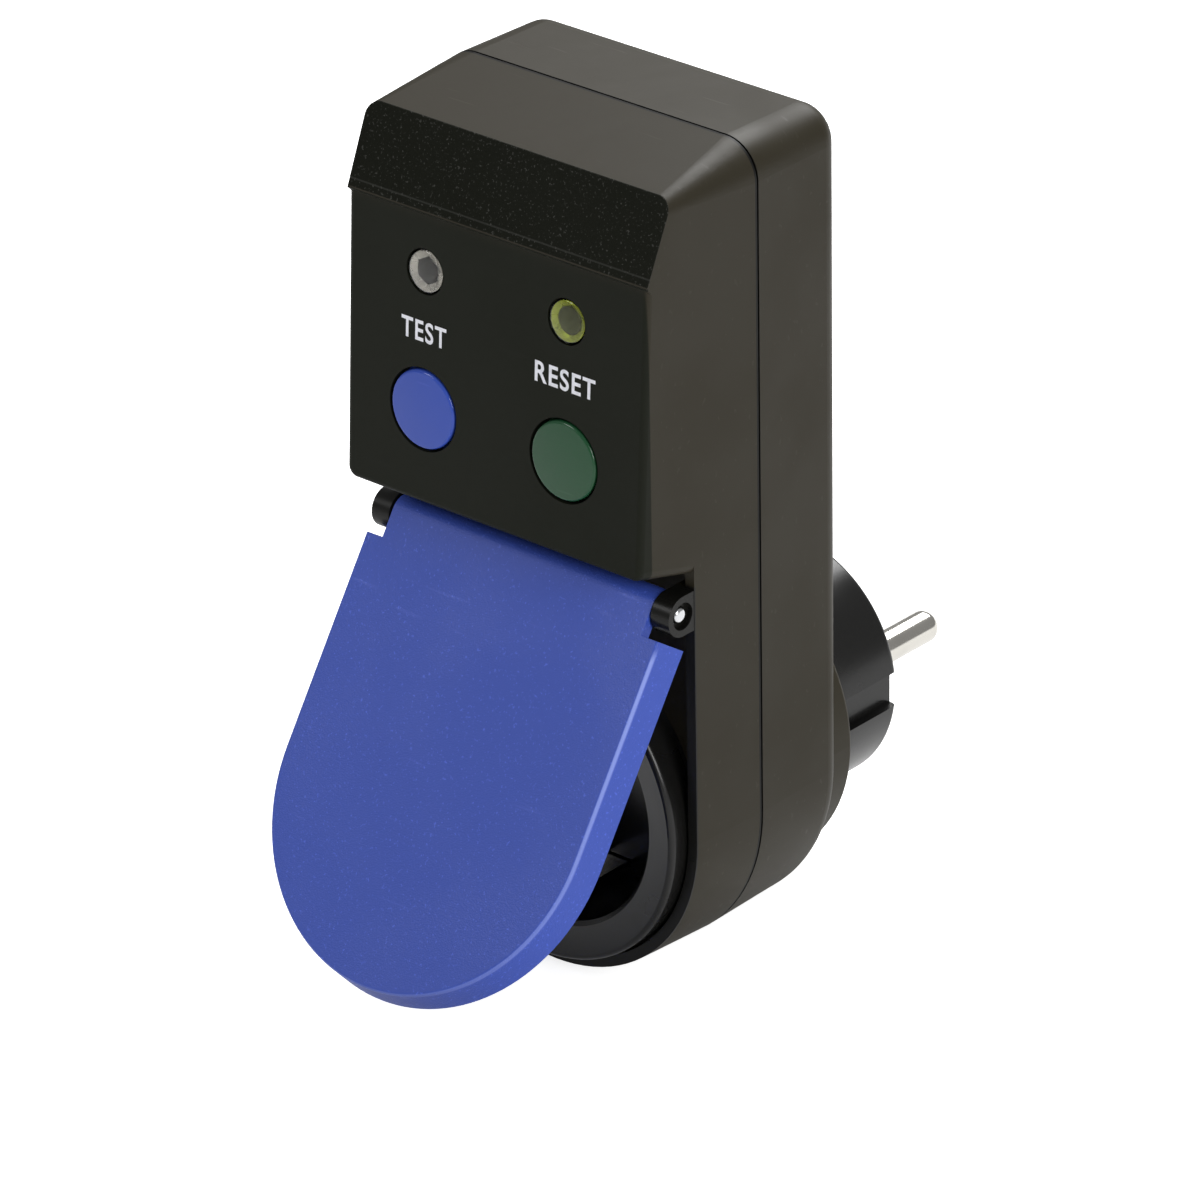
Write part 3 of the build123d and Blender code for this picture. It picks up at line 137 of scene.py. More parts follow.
class Graph:
    """Small helper that adds nodes to a node tree and joins them."""

    def __init__(self, tree: bpy.types.NodeTree) -> None:
        """Wraps a tree, emptied of its nodes."""
        self.tree = tree
        tree.nodes.clear()

    def node(self, kind: str, settings: Optional[dict] = None, **inputs: object) -> bpy.types.Node:
        """Adds one node.

        Args:
            kind: the node's class name.
            settings: its properties by name.
            inputs: its inputs by name, with underscores for spaces; a socket is linked, a value is set.

        Returns:
            The new node.
        """
        made = self.tree.nodes.new(kind)
        for name, value in (settings or {}).items():
            setattr(made, name, value)
        for name, value in inputs.items():
            self.feed(made, name.replace("_", " "), value)
        return made

    def feed(self, node: bpy.types.Node, name: object, value: object) -> None:
        """Links a socket to an input, or sets the input's own value.

        Args:
            node: the node to feed.
            name: the input's name or number.
            value: a socket or a value.
        """
        if isinstance(value, bpy.types.NodeSocket):
            self.tree.links.new(value, node.inputs[name])
        else:
            node.inputs[name].default_value = value

    def group(self, tree: bpy.types.NodeTree, place: Socket, **inputs: object) -> bpy.types.Node:
        """A shared shader group over the given coordinates, with its inputs by name."""
        return self.node("ShaderNodeGroup", {"node_tree": tree}, Vector=place, **inputs)

    def math(self, operation: str, first: object, second: object = 0.0, clamp: bool = False) -> Socket:
        """Result of one sum.

        Args:
            operation: the sum's name.
            first: a number or socket.
            second: a number or socket.
            clamp: holds the result between zero and one.

        Returns:
            The result's socket.
        """
        made = self.tree.nodes.new("ShaderNodeMath")
        made.operation = operation
        made.use_clamp = clamp
        self.feed(made, 0, first)
        self.feed(made, 1, second)
        return made.outputs[0]

    def ramp(
        self, value: object, low: float, high: float, out_low: float = 0.0, out_high: float = 1.0
    ) -> Socket:
        """Value eased from one range to another and held at its ends.

        Args:
            value: the number or socket to ease.
            low: where the ease starts.
            high: where it ends.
            out_low: result at and before the start.
            out_high: result at and after the end.

        Returns:
            The result's socket.
        """
        made = self.node("ShaderNodeMapRange", {"interpolation_type": "SMOOTHSTEP"})
        for index, item in enumerate((value, low, high, out_low, out_high)):
            self.feed(made, index, item)
        return made.outputs[0]

    def mix(self, share: object, first: object, second: object) -> Socket:
        """Colour between two colours.

        Args:
            share: the second colour's share.
            first: a colour or socket.
            second: a colour or socket.

        Returns:
            The colour's socket.
        """
        made = self.node("ShaderNodeMix", {"data_type": "RGBA"})
        self.feed(made, 0, share)
        self.feed(made, 6, first)
        self.feed(made, 7, second)
        return made.outputs[2]

    def apart(self, place: Socket) -> Sequence[Socket]:
        """The three coordinates of a place."""
        return self.node("ShaderNodeSeparateXYZ", Vector=place).outputs

    def bump(self, surface: bpy.types.Node, height: object) -> None:
        """Tilts the surface's normals by a height in metres."""
        tilt = self.node("ShaderNodeBump", Strength=1.0, Distance=1.0, Height=height)
        self.feed(surface, "Normal", tilt.outputs[0])


def shade(red: float, green: float, blue: float) -> Colour:
    """Colour with full cover, from linear shares."""
    return (red, green, blue, 1.0)


def toned(colour: Colour, share: float) -> Colour:
    """The same colour with its three channels times a share."""
    return tuple(channel * share for channel in colour[:3]) + (1.0,)


def effect(
    name: str, inputs: Sequence[tuple[str, str, object]], outputs: Sequence[tuple[str, str]]
) -> tuple[Graph, Sequence[Socket], bpy.types.Node]:
    """Starts a shared shader group.

    Args:
        name: the group's name.
        inputs: (name, socket type, default value) of each input.
        outputs: (name, socket type) of each output.

    Returns:
        The graph, its input node's outputs and its output node.
    """
    tree = bpy.data.node_groups.new(name, "ShaderNodeTree")
    for label, kind, value in inputs:
        socket = tree.interface.new_socket(name=label, in_out="INPUT", socket_type=kind)
        if value is not None:
            socket.default_value = value
    for label, kind in outputs:
        tree.interface.new_socket(name=label, in_out="OUTPUT", socket_type=kind)
    graph = Graph(tree)
    start = tree.nodes.new("NodeGroupInput")
    end = tree.nodes.new("NodeGroupOutput")
    return graph, start.outputs, end


class Effects:
    """The shader groups that several finishes share, each built once."""

    def __init__(self) -> None:
        """Builds every group."""
        self.grain = self.build_grain()
        self.marks = self.build_marks()
        self.lines = self.build_lines()

    @staticmethod
    def build_grain() -> bpy.types.NodeTree:
        """Moulded grain: shallow pits of one cell size, broken up by finer noise, and bright specks.

        Returns:
            A group that gives a height and a mask of specks.
        """
        graph, given, end = effect(
            "moulded grain",
            [
                ("Vector", "NodeSocketVector", None),
                ("Cells", "NodeSocketFloat", 2500.0),
                ("Coarse", "NodeSocketFloat", 0.5),
            ],
            [("Height", "NodeSocketFloat"), ("Speck", "NodeSocketFloat")],
        )
        place, size = given["Vector"], given["Cells"]
        cells = graph.node(
            "ShaderNodeTexVoronoi", {"feature": "SMOOTH_F1"}, Vector=place, Scale=size, Smoothness=0.6
        )
        fine_size = graph.math("MULTIPLY", size, 1.7)
        fine = graph.node("ShaderNodeTexNoise", Vector=place, Scale=fine_size, Detail=3.0)
        pits = graph.math("MULTIPLY", cells.outputs["Distance"], given["Coarse"])
        height = graph.math("ADD", pits, graph.math("MULTIPLY", fine.outputs["Fac"], 0.6))
        sparse_size = graph.math("MULTIPLY", size, 0.55)
        sparse = graph.node("ShaderNodeTexNoise", Vector=place, Scale=sparse_size, Detail=2.0)
        graph.feed(end, "Height", height)
        graph.feed(end, "Speck", graph.ramp(sparse.outputs["Fac"], 0.6, 0.74))
        return graph.tree

    @staticmethod
    def build_marks() -> bpy.types.NodeTree:
        """Handling marks: broad cloudy change of gloss, and thin lint and scratches.

        Returns:
            A group that gives both as values.
        """
        graph, given, end = effect(
            "handling marks",
            [("Vector", "NodeSocketVector", None), ("Scale", "NodeSocketFloat", 40.0)],
            [("Cloud", "NodeSocketFloat"), ("Scratch", "NodeSocketFloat")],
        )
        place, size = given["Vector"], given["Scale"]
        cloud = graph.node("ShaderNodeTexNoise", Vector=place, Scale=size, Detail=4.0, Distortion=0.4)
        stretch = graph.node("ShaderNodeMapping", Vector=place)
        stretch.inputs["Rotation"].default_value = (0.4, 0.9, 0.3)
        stretch.inputs["Scale"].default_value = (1.0, 14.0, 9.0)
        drawn = stretch.outputs[0]
        lines = graph.node("ShaderNodeTexNoise", Vector=drawn, Scale=90.0, Detail=1.0, Distortion=0.2)
        thin = graph.ramp(lines.outputs["Fac"], 0.71, 0.76)
        graph.feed(end, "Cloud", cloud.outputs["Fac"])
        graph.feed(end, "Scratch", thin)
        return graph.tree

    @staticmethod
    def build_lines() -> bpy.types.NodeTree:
        """Drawing lines of metal: noise stretched along one axis.

        Returns:
            A group that gives the lines as a value.
        """
        graph, given, end = effect(
            "drawing lines",
            [("Vector", "NodeSocketVector", None), ("Stretch", "NodeSocketVector", EVEN)],
            [("Lines", "NodeSocketFloat")],
        )
        long_way = graph.node("ShaderNodeMapping", Vector=given["Vector"], Scale=given["Stretch"])
        noise = graph.node("ShaderNodeTexNoise", Vector=long_way.outputs[0], Scale=900.0, Detail=4.0)
        graph.feed(end, "Lines", noise.outputs["Fac"])
        return graph.tree


def start_material(name: str) -> tuple[bpy.types.Material, Graph, bpy.types.Node, Socket]:
    """Starts a material.

    Args:
        name: the finish's name.

    Returns:
        The material, its graph, its Principled shader joined to the output, and its Object coordinates.
    """
    material = bpy.data.materials.new(name)
    material.use_nodes = True
    graph = Graph(material.node_tree)
    surface = graph.node("ShaderNodeBsdfPrincipled")
    output = graph.node("ShaderNodeOutputMaterial")
    graph.feed(output, "Surface", surface.outputs[0])
    place = graph.node("ShaderNodeTexCoord").outputs["Object"]
    return material, graph, surface, place


@dataclass(frozen=True)
class MouldedPlastic:
    """Moulded plastic with grain, specks and handling marks."""

    name: str
    colour: Colour
    roughness: float
    cells: float = 2500.0
    coarse: float = 0.5
    depth: float = 0.02 * MM
    specular: float = 0.5
    speck: float = 0.0
    scratch: float = 0.15
    cloud: float = 0.06

    def build(self, effects: Effects) -> bpy.types.Material:
        """Makes the material.

        Args:
            effects: the shared shader groups.

        Returns:
            The finished material.
        """
        material, graph, surface, place = start_material(self.name)
        grain = graph.group(effects.grain, place, Cells=self.cells, Coarse=self.coarse)
        marks = graph.group(effects.marks, place)
        graph.feed(surface, "Base Color", self.tint(graph, place, grain, marks))
        low, high = self.roughness - self.cloud, self.roughness + self.cloud
        rough = graph.ramp(marks.outputs["Cloud"], 0.3, 0.7, low, high)
        rough = graph.math("ADD", rough, graph.math("MULTIPLY", marks.outputs["Scratch"], -0.08))
        graph.feed(surface, "Roughness", self.finish(graph, place, rough))
        graph.feed(surface, "Specular IOR Level", self.shine(graph, place))
        graph.bump(surface, self.relief(graph, place, grain))
        return material

    def tint(self, graph: Graph, place: Socket, grain: bpy.types.Node, marks: bpy.types.Node) -> Socket:
        """Base colour: lighter in the specks and along the scratches.

        Args:
            graph: the material's graph.
            place: Object coordinates.
            grain: the grain's group node.
            marks: the handling marks' group node.

        Returns:
            The colour's socket.
        """
        light = tuple(min(1.0, channel * 1.5 + 0.02) for channel in self.colour[:3]) + (1.0,)
        specks = graph.math("MULTIPLY", grain.outputs["Speck"], self.speck)
        scratches = graph.math("MULTIPLY", marks.outputs["Scratch"], self.scratch)
        return graph.mix(graph.math("ADD", specks, scratches, clamp=True), self.colour, light)

    def finish(self, graph: Graph, place: Socket, rough: Socket) -> Socket:
        """Roughness over the surface."""
        return rough

    def shine(self, graph: Graph, place: Socket) -> object:
        """Specular level over the surface."""
        return self.specular

    def relief(self, graph: Graph, place: Socket, grain: bpy.types.Node) -> Socket:
        """Height of the grain in metres."""
        return graph.math("MULTIPLY", grain.outputs["Height"], self.depth)


@dataclass(frozen=True)
class ShellPlastic(MouldedPlastic):
    """Housing plastic: satin all over, smoother on the panel and coarse on the chamfer over it, with painted
    shade on the panel, in the pocket and along the seam.
    """

    chamfer_foot: tuple[float, float] = (-62.6 * MM, 87.0 * MM)
    chamfer_top: tuple[float, float] = (-52.5 * MM, 110.009 * MM)
    chamfer_depth: float = 0.075 * MM
    front_specular: float = 0.07
    line_height: float = 88.3 * MM
    panel_back: float = -62.1 * MM
    panel_fade: float = 0.3 * MM
    pocket_front: float = -53.7 * MM
    pocket_top: float = 39.6 * MM
    seam_middle: float = -41.05 * MM
    seam_half: float = 0.3 * MM
    pocket_shade_colour: Colour = shade(0.0075, 0.0074, 0.0065)
    panel_shade_colour: Colour = shade(0.0125, 0.0138, 0.0095)
    chamfer_colour: Colour = shade(0.009, 0.0098, 0.0065)
    speck_colour: Colour = shade(0.085, 0.085, 0.078)
    line_colour: Colour = shade(0.06, 0.06, 0.055)
    seam_shade_colour: Colour = shade(0.002, 0.002, 0.0015)

    def chamfer(self, graph: Graph, place: Socket) -> Socket:
        """Mask of the chamfer: points within 0.22 mm of the slanted plane through its foot and top.

        Args:
            graph: the material's graph.
            place: Object coordinates.

        Returns:
            The mask's socket.
        """
        run_y = self.chamfer_top[0] - self.chamfer_foot[0]
        run_z = self.chamfer_top[1] - self.chamfer_foot[1]
        length = (run_y**2 + run_z**2) ** 0.5
        _, y, z = graph.apart(place)
        from_y = graph.math("SUBTRACT", y, self.chamfer_foot[0])
        from_z = graph.math("SUBTRACT", z, self.chamfer_foot[1])
        over_y = graph.math("MULTIPLY", from_y, run_z / length)
        over_z = graph.math("MULTIPLY", from_z, run_y / length)
        across = graph.math("SUBTRACT", over_y, over_z)
        near = graph.ramp(graph.math("ABSOLUTE", across), 0.12 * MM, 0.22 * MM, 1.0, 0.0)
        above = graph.ramp(from_z, 0.2 * MM, 0.35 * MM)
        return graph.math("MULTIPLY", near, above)

    def panel(self, graph: Graph, place: Socket) -> Socket:
        """Mask of the front panel, where shade is painted: everything forward of the chamfer's foot, below
        it.

        Args:
            graph: the material's graph.
            place: Object coordinates.

        Returns:
            The mask's socket.
        """
        _, y, z = graph.apart(place)
        forward = graph.ramp(y, self.panel_back - self.panel_fade, self.panel_back, 1.0, 0.0)
        below = graph.ramp(z, self.chamfer_foot[1], self.chamfer_foot[1] + 0.2 * MM, 1.0, 0.0)
        return graph.math("MULTIPLY", forward, below)

    def pocket(self, graph: Graph, place: Socket) -> Socket:
        """Mask of the hinge ears, the pocket and its rim's edge, where shade is painted and the finish is
        glossier: forward of the rim's foot, under the head.

        Args:
            graph: the material's graph.
            place: Object coordinates.

        Returns:
            The mask's socket.
        """
        _, y, z = graph.apart(place)
        forward = graph.ramp(y, self.pocket_front - 0.3 * MM, self.pocket_front, 1.0, 0.0)
        below = graph.ramp(z, self.pocket_top, self.pocket_top + 0.4 * MM, 1.0, 0.0)
        return graph.math("MULTIPLY", forward, below)

    def seam(self, graph: Graph, place: Socket) -> Socket:
        """Mask of the painted shade on the edges of the two shells beside their seam.

        Args:
            graph: the material's graph.
            place: Object coordinates.

        Returns:
            The mask's socket.
        """
        away = graph.math("ABSOLUTE", graph.math("SUBTRACT", graph.apart(place)[1], self.seam_middle))
        return graph.ramp(away, self.seam_half, self.seam_half + 0.08 * MM, 1.0, 0.0)

    def tint(self, graph: Graph, place: Socket, grain: bpy.types.Node, marks: bpy.types.Node) -> Socket:
        """Base colour: warm dark grey, with painted shade on the front panel, in the pocket and along the
        seam, and pale specks on the chamfer.

        Args:
            graph: the material's graph.
            place: Object coordinates.
            grain: the grain's group node.
            marks: the handling marks' group node.

        Returns:
            The colour's socket.
        """
        plain = super().tint(graph, place, grain, marks)
        chamfer_mask = self.chamfer(graph, place)
        # painted shade: the pocket under the head is painted darker than the rest of the moulding
        plain = graph.mix(self.pocket(graph, place), plain, self.pocket_shade_colour)
        # painted shade: the front panel is painted darker than the top and sides of the same moulding
        dark = graph.mix(self.panel(graph, place), plain, self.panel_shade_colour)
        speck = graph.math("MULTIPLY", grain.outputs["Speck"], chamfer_mask)
        chamfer = graph.mix(chamfer_mask, dark, self.chamfer_colour)
        speckled = graph.mix(graph.math("MULTIPLY", speck, 0.6), chamfer, self.speck_colour)
        height = graph.math("SUBTRACT", graph.apart(place)[2], self.line_height)
        line = graph.ramp(graph.math("ABSOLUTE", height), 0.06 * MM, 0.16 * MM, 0.4, 0.0)
        line = graph.math("MULTIPLY", line, chamfer_mask)
        lined = graph.mix(line, speckled, self.line_colour)
        # painted shade along the groove of the seam
        return graph.mix(self.seam(graph, place), lined, self.seam_shade_colour)

    def finish(self, graph: Graph, place: Socket, rough: Socket) -> Socket:
        """Roughness: duller on the chamfer, glossier in the pocket."""
        rough = graph.math("ADD", rough, graph.math("MULTIPLY", self.chamfer(graph, place), 0.22))
        return graph.math("SUBTRACT", rough, graph.math("MULTIPLY", self.pocket(graph, place), 0.18))

    def shine(self, graph: Graph, place: Socket) -> Socket:
        """Specular level: weaker on the panel and the chamfer."""
        dull = graph.math("ADD", self.panel(graph, place), self.chamfer(graph, place), clamp=True)
        return graph.ramp(dull, 0.0, 1.0, self.specular, self.front_specular)

    def relief(self, graph: Graph, place: Socket, grain: bpy.types.Node) -> Socket:
        """Height of the grain, several times deeper on the chamfer."""
        depth = graph.math("MULTIPLY", self.chamfer(graph, place), self.chamfer_depth)
        return graph.math("MULTIPLY", grain.outputs["Height"], graph.math("ADD", depth, self.depth))


@dataclass(frozen=True)
class LidPlastic(MouldedPlastic):
    """Lid plastic, with a painted highlight along the crease between the lid's face and its skirt."""

    hinge_y: float = -56.45 * MM
    hinge_z: float = 36.3 * MM
    rest_angle: float = 33.6
    face_height: float = 2.7 * MM
    crease: float = 0.5 * MM
    crease_top: float = 33.5 * MM
    crease_highlight_colour: Colour = shade(0.28, 0.36, 0.85)

    def tint(self, graph: Graph, place: Socket, grain: bpy.types.Node, marks: bpy.types.Node) -> Socket:
        """Base colour with a painted highlight where the height over the hinge's axis lies within the rounded
        crease, stronger higher up and none close to the hinge.

        Args:
            graph: the material's graph.
            place: Object coordinates.
            grain: the grain's group node.
            marks: the handling marks' group node.

        Returns:
            The colour's socket. The height is the point's distance from the hinge along the lid's
            outward normal: (hinge_y - y) cos(rest) + (z - hinge_z) sin(rest).
        """
        plain = super().tint(graph, place, grain, marks)
        _, y, z = graph.apart(place)
        rest = radians(self.rest_angle)
        forward = graph.math("MULTIPLY", graph.math("SUBTRACT", self.hinge_y, y), cos(rest))
        upward = graph.math("MULTIPLY", graph.math("SUBTRACT", z, self.hinge_z), sin(rest))
        drop = graph.math("SUBTRACT", self.face_height, graph.math("ADD", forward, upward))
        line = graph.math(
            "MULTIPLY",
            graph.ramp(drop, 0.03 * self.crease, 0.2 * self.crease),
            graph.ramp(drop, 0.8 * self.crease, 1.6 * self.crease, 1.0, 0.0),
        )
        below = graph.ramp(z, self.crease_top - 2.0 * MM, self.crease_top, 1.0, 0.0)
        fade = graph.ramp(z, -self.crease_top, self.crease_top, 0.15, 0.85)
        line = graph.math("MULTIPLY", graph.math("MULTIPLY", line, below), fade)
        # painted highlight along the crease, stronger higher up
        return graph.mix(line, plain, self.crease_highlight_colour)


@dataclass(frozen=True)
class DrawnMetal:
    """Drawn, rolled or plated metal with fine lines and cloudy tarnish."""

    name: str
    colour: Colour
    roughness: float
    stretch: tuple[float, float, float] = (1.0, 0.05, 1.0)
    depth: float = 0.004 * MM
    tarnish: float = 0.25
    cloud_scale: float = 160.0

    def build(self, effects: Effects) -> bpy.types.Material:
        """Makes the material.

        Args:
            effects: the shared shader groups.

        Returns:
            The finished material.
        """
        material, graph, surface, place = start_material(self.name)
        lines = graph.group(effects.lines, place, Stretch=self.stretch)
        marks = graph.group(effects.marks, place, Scale=self.cloud_scale)
        share = graph.ramp(marks.outputs["Cloud"], 0.45, 0.8, 0.0, self.tarnish)
        graph.feed(surface, "Base Color", graph.mix(share, self.colour, toned(self.colour, 0.62)))
        surface.inputs["Metallic"].default_value = 1.0
        rough = graph.ramp(lines.outputs["Lines"], 0.3, 0.7, self.roughness * 0.75, self.roughness * 1.3)
        graph.feed(surface, "Roughness", rough)
        graph.bump(surface, graph.math("MULTIPLY", lines.outputs["Lines"], self.depth))
        return material


@dataclass(frozen=True)
class ClearPlastic:
    """Clear moulded plastic, tinted, with faint moulding haze."""

    name: str
    colour: Colour
    roughness: float = 0.05
    haze: float = 0.05
    index: float = 1.35

    def build(self, effects: Effects) -> bpy.types.Material:
        """Makes the material.

        Args:
            effects: the shared shader groups.

        Returns:
            The finished material.
        """
        material, graph, surface, place = start_material(self.name)
        marks = graph.group(effects.marks, place, Scale=500.0)
        cloud = marks.outputs["Cloud"]
        graph.feed(surface, "Base Color", graph.mix(cloud, self.colour, toned(self.colour, 0.8)))
        rough = graph.ramp(cloud, 0.3, 0.7, self.roughness, self.roughness + self.haze)
        graph.feed(surface, "Roughness", rough)
        surface.inputs["Transmission Weight"].default_value = 1.0
        surface.inputs["IOR"].default_value = self.index
        return material


@dataclass(frozen=True)
class Banded:
    """Small wound or banded part: stripes along one axis over a base colour."""

    name: str
    colour: Colour
    stripe: Colour
    axis: int
    pitch: float
    share: float = 0.35
    roughness: float = 0.35
    metallic: float = 0.0

    def build(self, effects: Effects) -> bpy.types.Material:
        """Makes the material: a wave of the stated pitch along the axis mixes the two colours.

        Args:
            effects: the shared shader groups.

        Returns:
            The finished material.
        """
        material, graph, surface, place = start_material(self.name)
        along = graph.apart(place)[self.axis]
        wave = graph.math("SINE", graph.math("MULTIPLY", along, 2 * pi / self.pitch))
        high = graph.math("ADD", graph.math("MULTIPLY", wave, 0.5), 0.5)
        band = graph.ramp(high, 1 - self.share - 0.05, 1 - self.share + 0.05)
        cloud = graph.group(effects.marks, place, Scale=300.0).outputs["Cloud"]
        base = graph.mix(graph.ramp(cloud, 0.4, 0.7), self.colour, toned(self.colour, 0.8))
        graph.feed(surface, "Base Color", graph.mix(band, base, self.stripe))
        rough = graph.ramp(cloud, 0.3, 0.7, self.roughness, self.roughness + 0.1)
        graph.feed(surface, "Roughness", rough)
        surface.inputs["Metallic"].default_value = self.metallic
        return material


@dataclass(frozen=True)
class SolderMask:
    """Printed circuit board: green mask with paler traces under it and tinned pads."""

    name: str = "solder mask"
    colour: Colour = shade(0.02, 0.11, 0.045)
    trace: Colour = shade(0.04, 0.2, 0.07)
    pad: Colour = shade(0.6, 0.6, 0.58)

    def build(self, effects: Effects) -> bpy.types.Material:
        """Makes the material.

        Args:
            effects: the shared shader groups.

        Returns:
            The finished material.
        """
        material, graph, surface, place = start_material(self.name)
        turned = graph.node("ShaderNodeMapping", Vector=place)
        turned.inputs["Rotation"].default_value = (pi / 2, 0.0, 0.0)
        tracks = graph.node("ShaderNodeTexBrick", Vector=turned.outputs[0], Scale=190.0)
        tracks.inputs["Mortar Size"].default_value = 0.06
        dots = graph.node("ShaderNodeTexVoronoi", Vector=turned.outputs[0], Scale=260.0, Randomness=0.25)
        pads = graph.ramp(dots.outputs["Distance"], 0.16, 0.19, 1.0, 0.0)
        mask = graph.mix(tracks.outputs["Fac"], self.colour, self.trace)
        graph.feed(surface, "Base Color", graph.mix(pads, mask, self.pad))
        graph.feed(surface, "Roughness", graph.ramp(pads, 0.0, 1.0, 0.3, 0.2))
        graph.feed(surface, "Metallic", pads)
        return material


@dataclass(frozen=True)
class Ink:
    """Printed ink: flat white with slight wear."""

    name: str = "white print"
    colour: Colour = shade(0.86, 0.87, 0.93)

    def build(self, effects: Effects) -> bpy.types.Material:
        """Makes the material.

        Args:
            effects: the shared shader groups.

        Returns:
            The finished material.
        """
        material, graph, surface, place = start_material(self.name)
        cloud = graph.group(effects.marks, place, Scale=900.0).outputs["Cloud"]
        worn = graph.mix(graph.ramp(cloud, 0.4, 0.75), self.colour, toned(self.colour, 0.86))
        graph.feed(surface, "Base Color", worn)
        graph.feed(surface, "Roughness", graph.ramp(cloud, 0.3, 0.7, 0.45, 0.6))
        return material


def mesh_from_grid(name: str, points: np.ndarray, wrap: bool, caps: bool) -> bpy.types.Mesh:
    """Mesh of a grid of points.

    Args:
        name: the mesh's name.
        points: array (rows, columns, 3), where columns run round a ring when wrap is true.
        wrap: joins the last column to the first.
        caps: closes the first and last row, each with a fan about its middle.

    Returns:
        The mesh, with quads between neighbouring rows and columns, faces outward.
    """
    rows, columns = points.shape[:2]
    index = np.arange(rows * columns).reshape(rows, columns)
    across = np.roll(index, -1, axis=1) if wrap else index[:, 1:]
    near = index if wrap else index[:, :-1]
    quads = np.stack([near[:-1], across[:-1], across[1:], near[1:]], axis=-1).reshape(-1, 4)
    vertices = points.reshape(-1, 3)
    faces = quads.tolist()
    if caps:
        vertices = np.vstack([vertices, points[0].mean(axis=0), points[-1].mean(axis=0)])
        first, last = rows * columns, rows * columns + 1
        ring = np.arange(columns)
        after = np.roll(ring, -1)
        faces += np.stack([np.full(columns, first), after, ring], axis=-1).tolist()
        tail = index[-1]
        faces += np.stack([np.full(columns, last), tail, np.roll(tail, -1)], axis=-1).tolist()
    mesh = bpy.data.meshes.new(name)
    mesh.from_pydata(vertices.tolist(), [], faces)
    mesh.shade_smooth()
    mesh.update()
    return mesh


def lathe(name: str, axes: Axes, profile: np.ndarray, sides: int = 96) -> bpy.types.Mesh:
    """Turned form: each profile point (radius, height) is carried round the frame's z axis.

    Args:
        name: the mesh's name.
        axes: frame whose z is the axis of turning.
        profile: array (count, 2) of radii and heights.
        sides: steps round the axis.

    Returns:
        A closed mesh, where the first and last profile points lie on the axis.
    """
    angle = np.linspace(0.0, 2 * pi, sides, endpoint=False)
    radius, height = profile[:, :1], profile[:, 1:2]
    level = np.broadcast_to(height, (len(profile), sides))
    ring = np.stack([radius * np.cos(angle), radius * np.sin(angle), level], axis=-1)
    return outward(mesh_from_grid(name, axes.place(ring), wrap=True, caps=False))


def outward(mesh: bpy.types.Mesh) -> bpy.types.Mesh:
    """Merges doubles of a closed mesh and turns its faces outward.

    Args:
        mesh: the mesh to change.

    Returns:
        The same mesh.
    """
    work = bmesh.new()
    work.from_mesh(mesh)
    bmesh.ops.remove_doubles(work, verts=work.verts, dist=1e-7)
    bmesh.ops.recalc_face_normals(work, faces=work.faces)
    work.to_mesh(mesh)
    work.free()
    return mesh


def swept_tube(name: str, path: np.ndarray, radius: float, sides: int = 14) -> bpy.types.Mesh:
    """Round wire along a path.

    At each point, the ring lies in the plane square to the path: its first axis is a fixed guide
    direction less its part along the path, and its second is the cross product of the two.

    Args:
        name: the mesh's name.
        path: array (count, 3) of the centre line, with no run along the guide direction.
        radius: the wire's radius.
        sides: steps round the wire.

    Returns:
        The closed mesh.
    """
    tangent = np.gradient(path, axis=0)
    tangent /= np.linalg.norm(tangent, axis=1, keepdims=True)
    first = np.zeros_like(tangent)
    guide = np.array([0.36, 0.48, 0.8])
    for index, way in enumerate(tangent):
        guide = guide - way * (guide @ way)
        guide = guide / np.linalg.norm(guide)
        first[index] = guide
    second = np.cross(tangent, first)
    angle = np.linspace(0.0, 2 * pi, sides, endpoint=False)[None, :, None]
    ring = path[:, None] + radius * (np.cos(angle) * first[:, None] + np.sin(angle) * second[:, None])
    return outward(mesh_from_grid(name, ring, wrap=True, caps=True))


@dataclass
class Dresser:
    """Links meshes into the scene and keeps count of what was made."""

    made: int = 0

    def add(
        self,
        mesh: bpy.types.Mesh,
        material: bpy.types.Material,
        body: str,
        slot: str,
        replaced: Sequence[str] = (),
    ) -> bpy.types.Object:
        """Adds one piece.

        Args:
            mesh: its mesh, in the row's frame.
            material: its finish.
            body: the CAD body that it rides on.
            slot: the record's material slot; not used.
            replaced: the CAD nodes that it stands for.

        Returns:
            The piece's object, at the origin.
        """
        piece = bpy.data.objects.new(mesh.name, mesh)
        bpy.context.scene.collection.objects.link(piece)
        mesh.materials.clear()
        mesh.materials.append(material)
        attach(piece, body)
        if replaced:
            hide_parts(*replaced)
        self.made += 1
        LOG.info("made %s on %s", piece.name, body)
        return piece


@dataclass
class CoilSpring:
    """Compression spring: an open helix whose end turns close up flat."""

    name: str
    axes: Axes
    mean_radius: float
    wire: float
    length: float
    turns: float
    closed_turns: float = 1.0
    steps: int = 40

    def path(self) -> np.ndarray:
        """Centre line: turns at an even angle, with the height eased so that both end turns lie flat.

        Returns:
            Array of places: (radius cos t, radius sin t, height), where the height rises by one wire
            over each closed turn and evenly over the open ones.
        """
        turn = np.linspace(0.0, self.turns, int(self.turns * self.steps))
        closed = self.closed_turns
        knots = np.array([0.0, closed, self.turns - closed, self.turns])
        half = self.wire / 2
        rise = self.wire * closed * 1.04
        heights = np.array([half, half + rise, self.length - half - rise, self.length - half])
        height = np.interp(turn, knots, heights)
        angle = 2 * pi * turn
        across, up = self.mean_radius * np.cos(angle), self.mean_radius * np.sin(angle)
        return self.axes.place(np.stack([across, up, height], axis=-1))

    def mesh(self) -> bpy.types.Mesh:
        """Wire swept along the helix."""
        return swept_tube(self.name, self.path(), self.wire / 2)


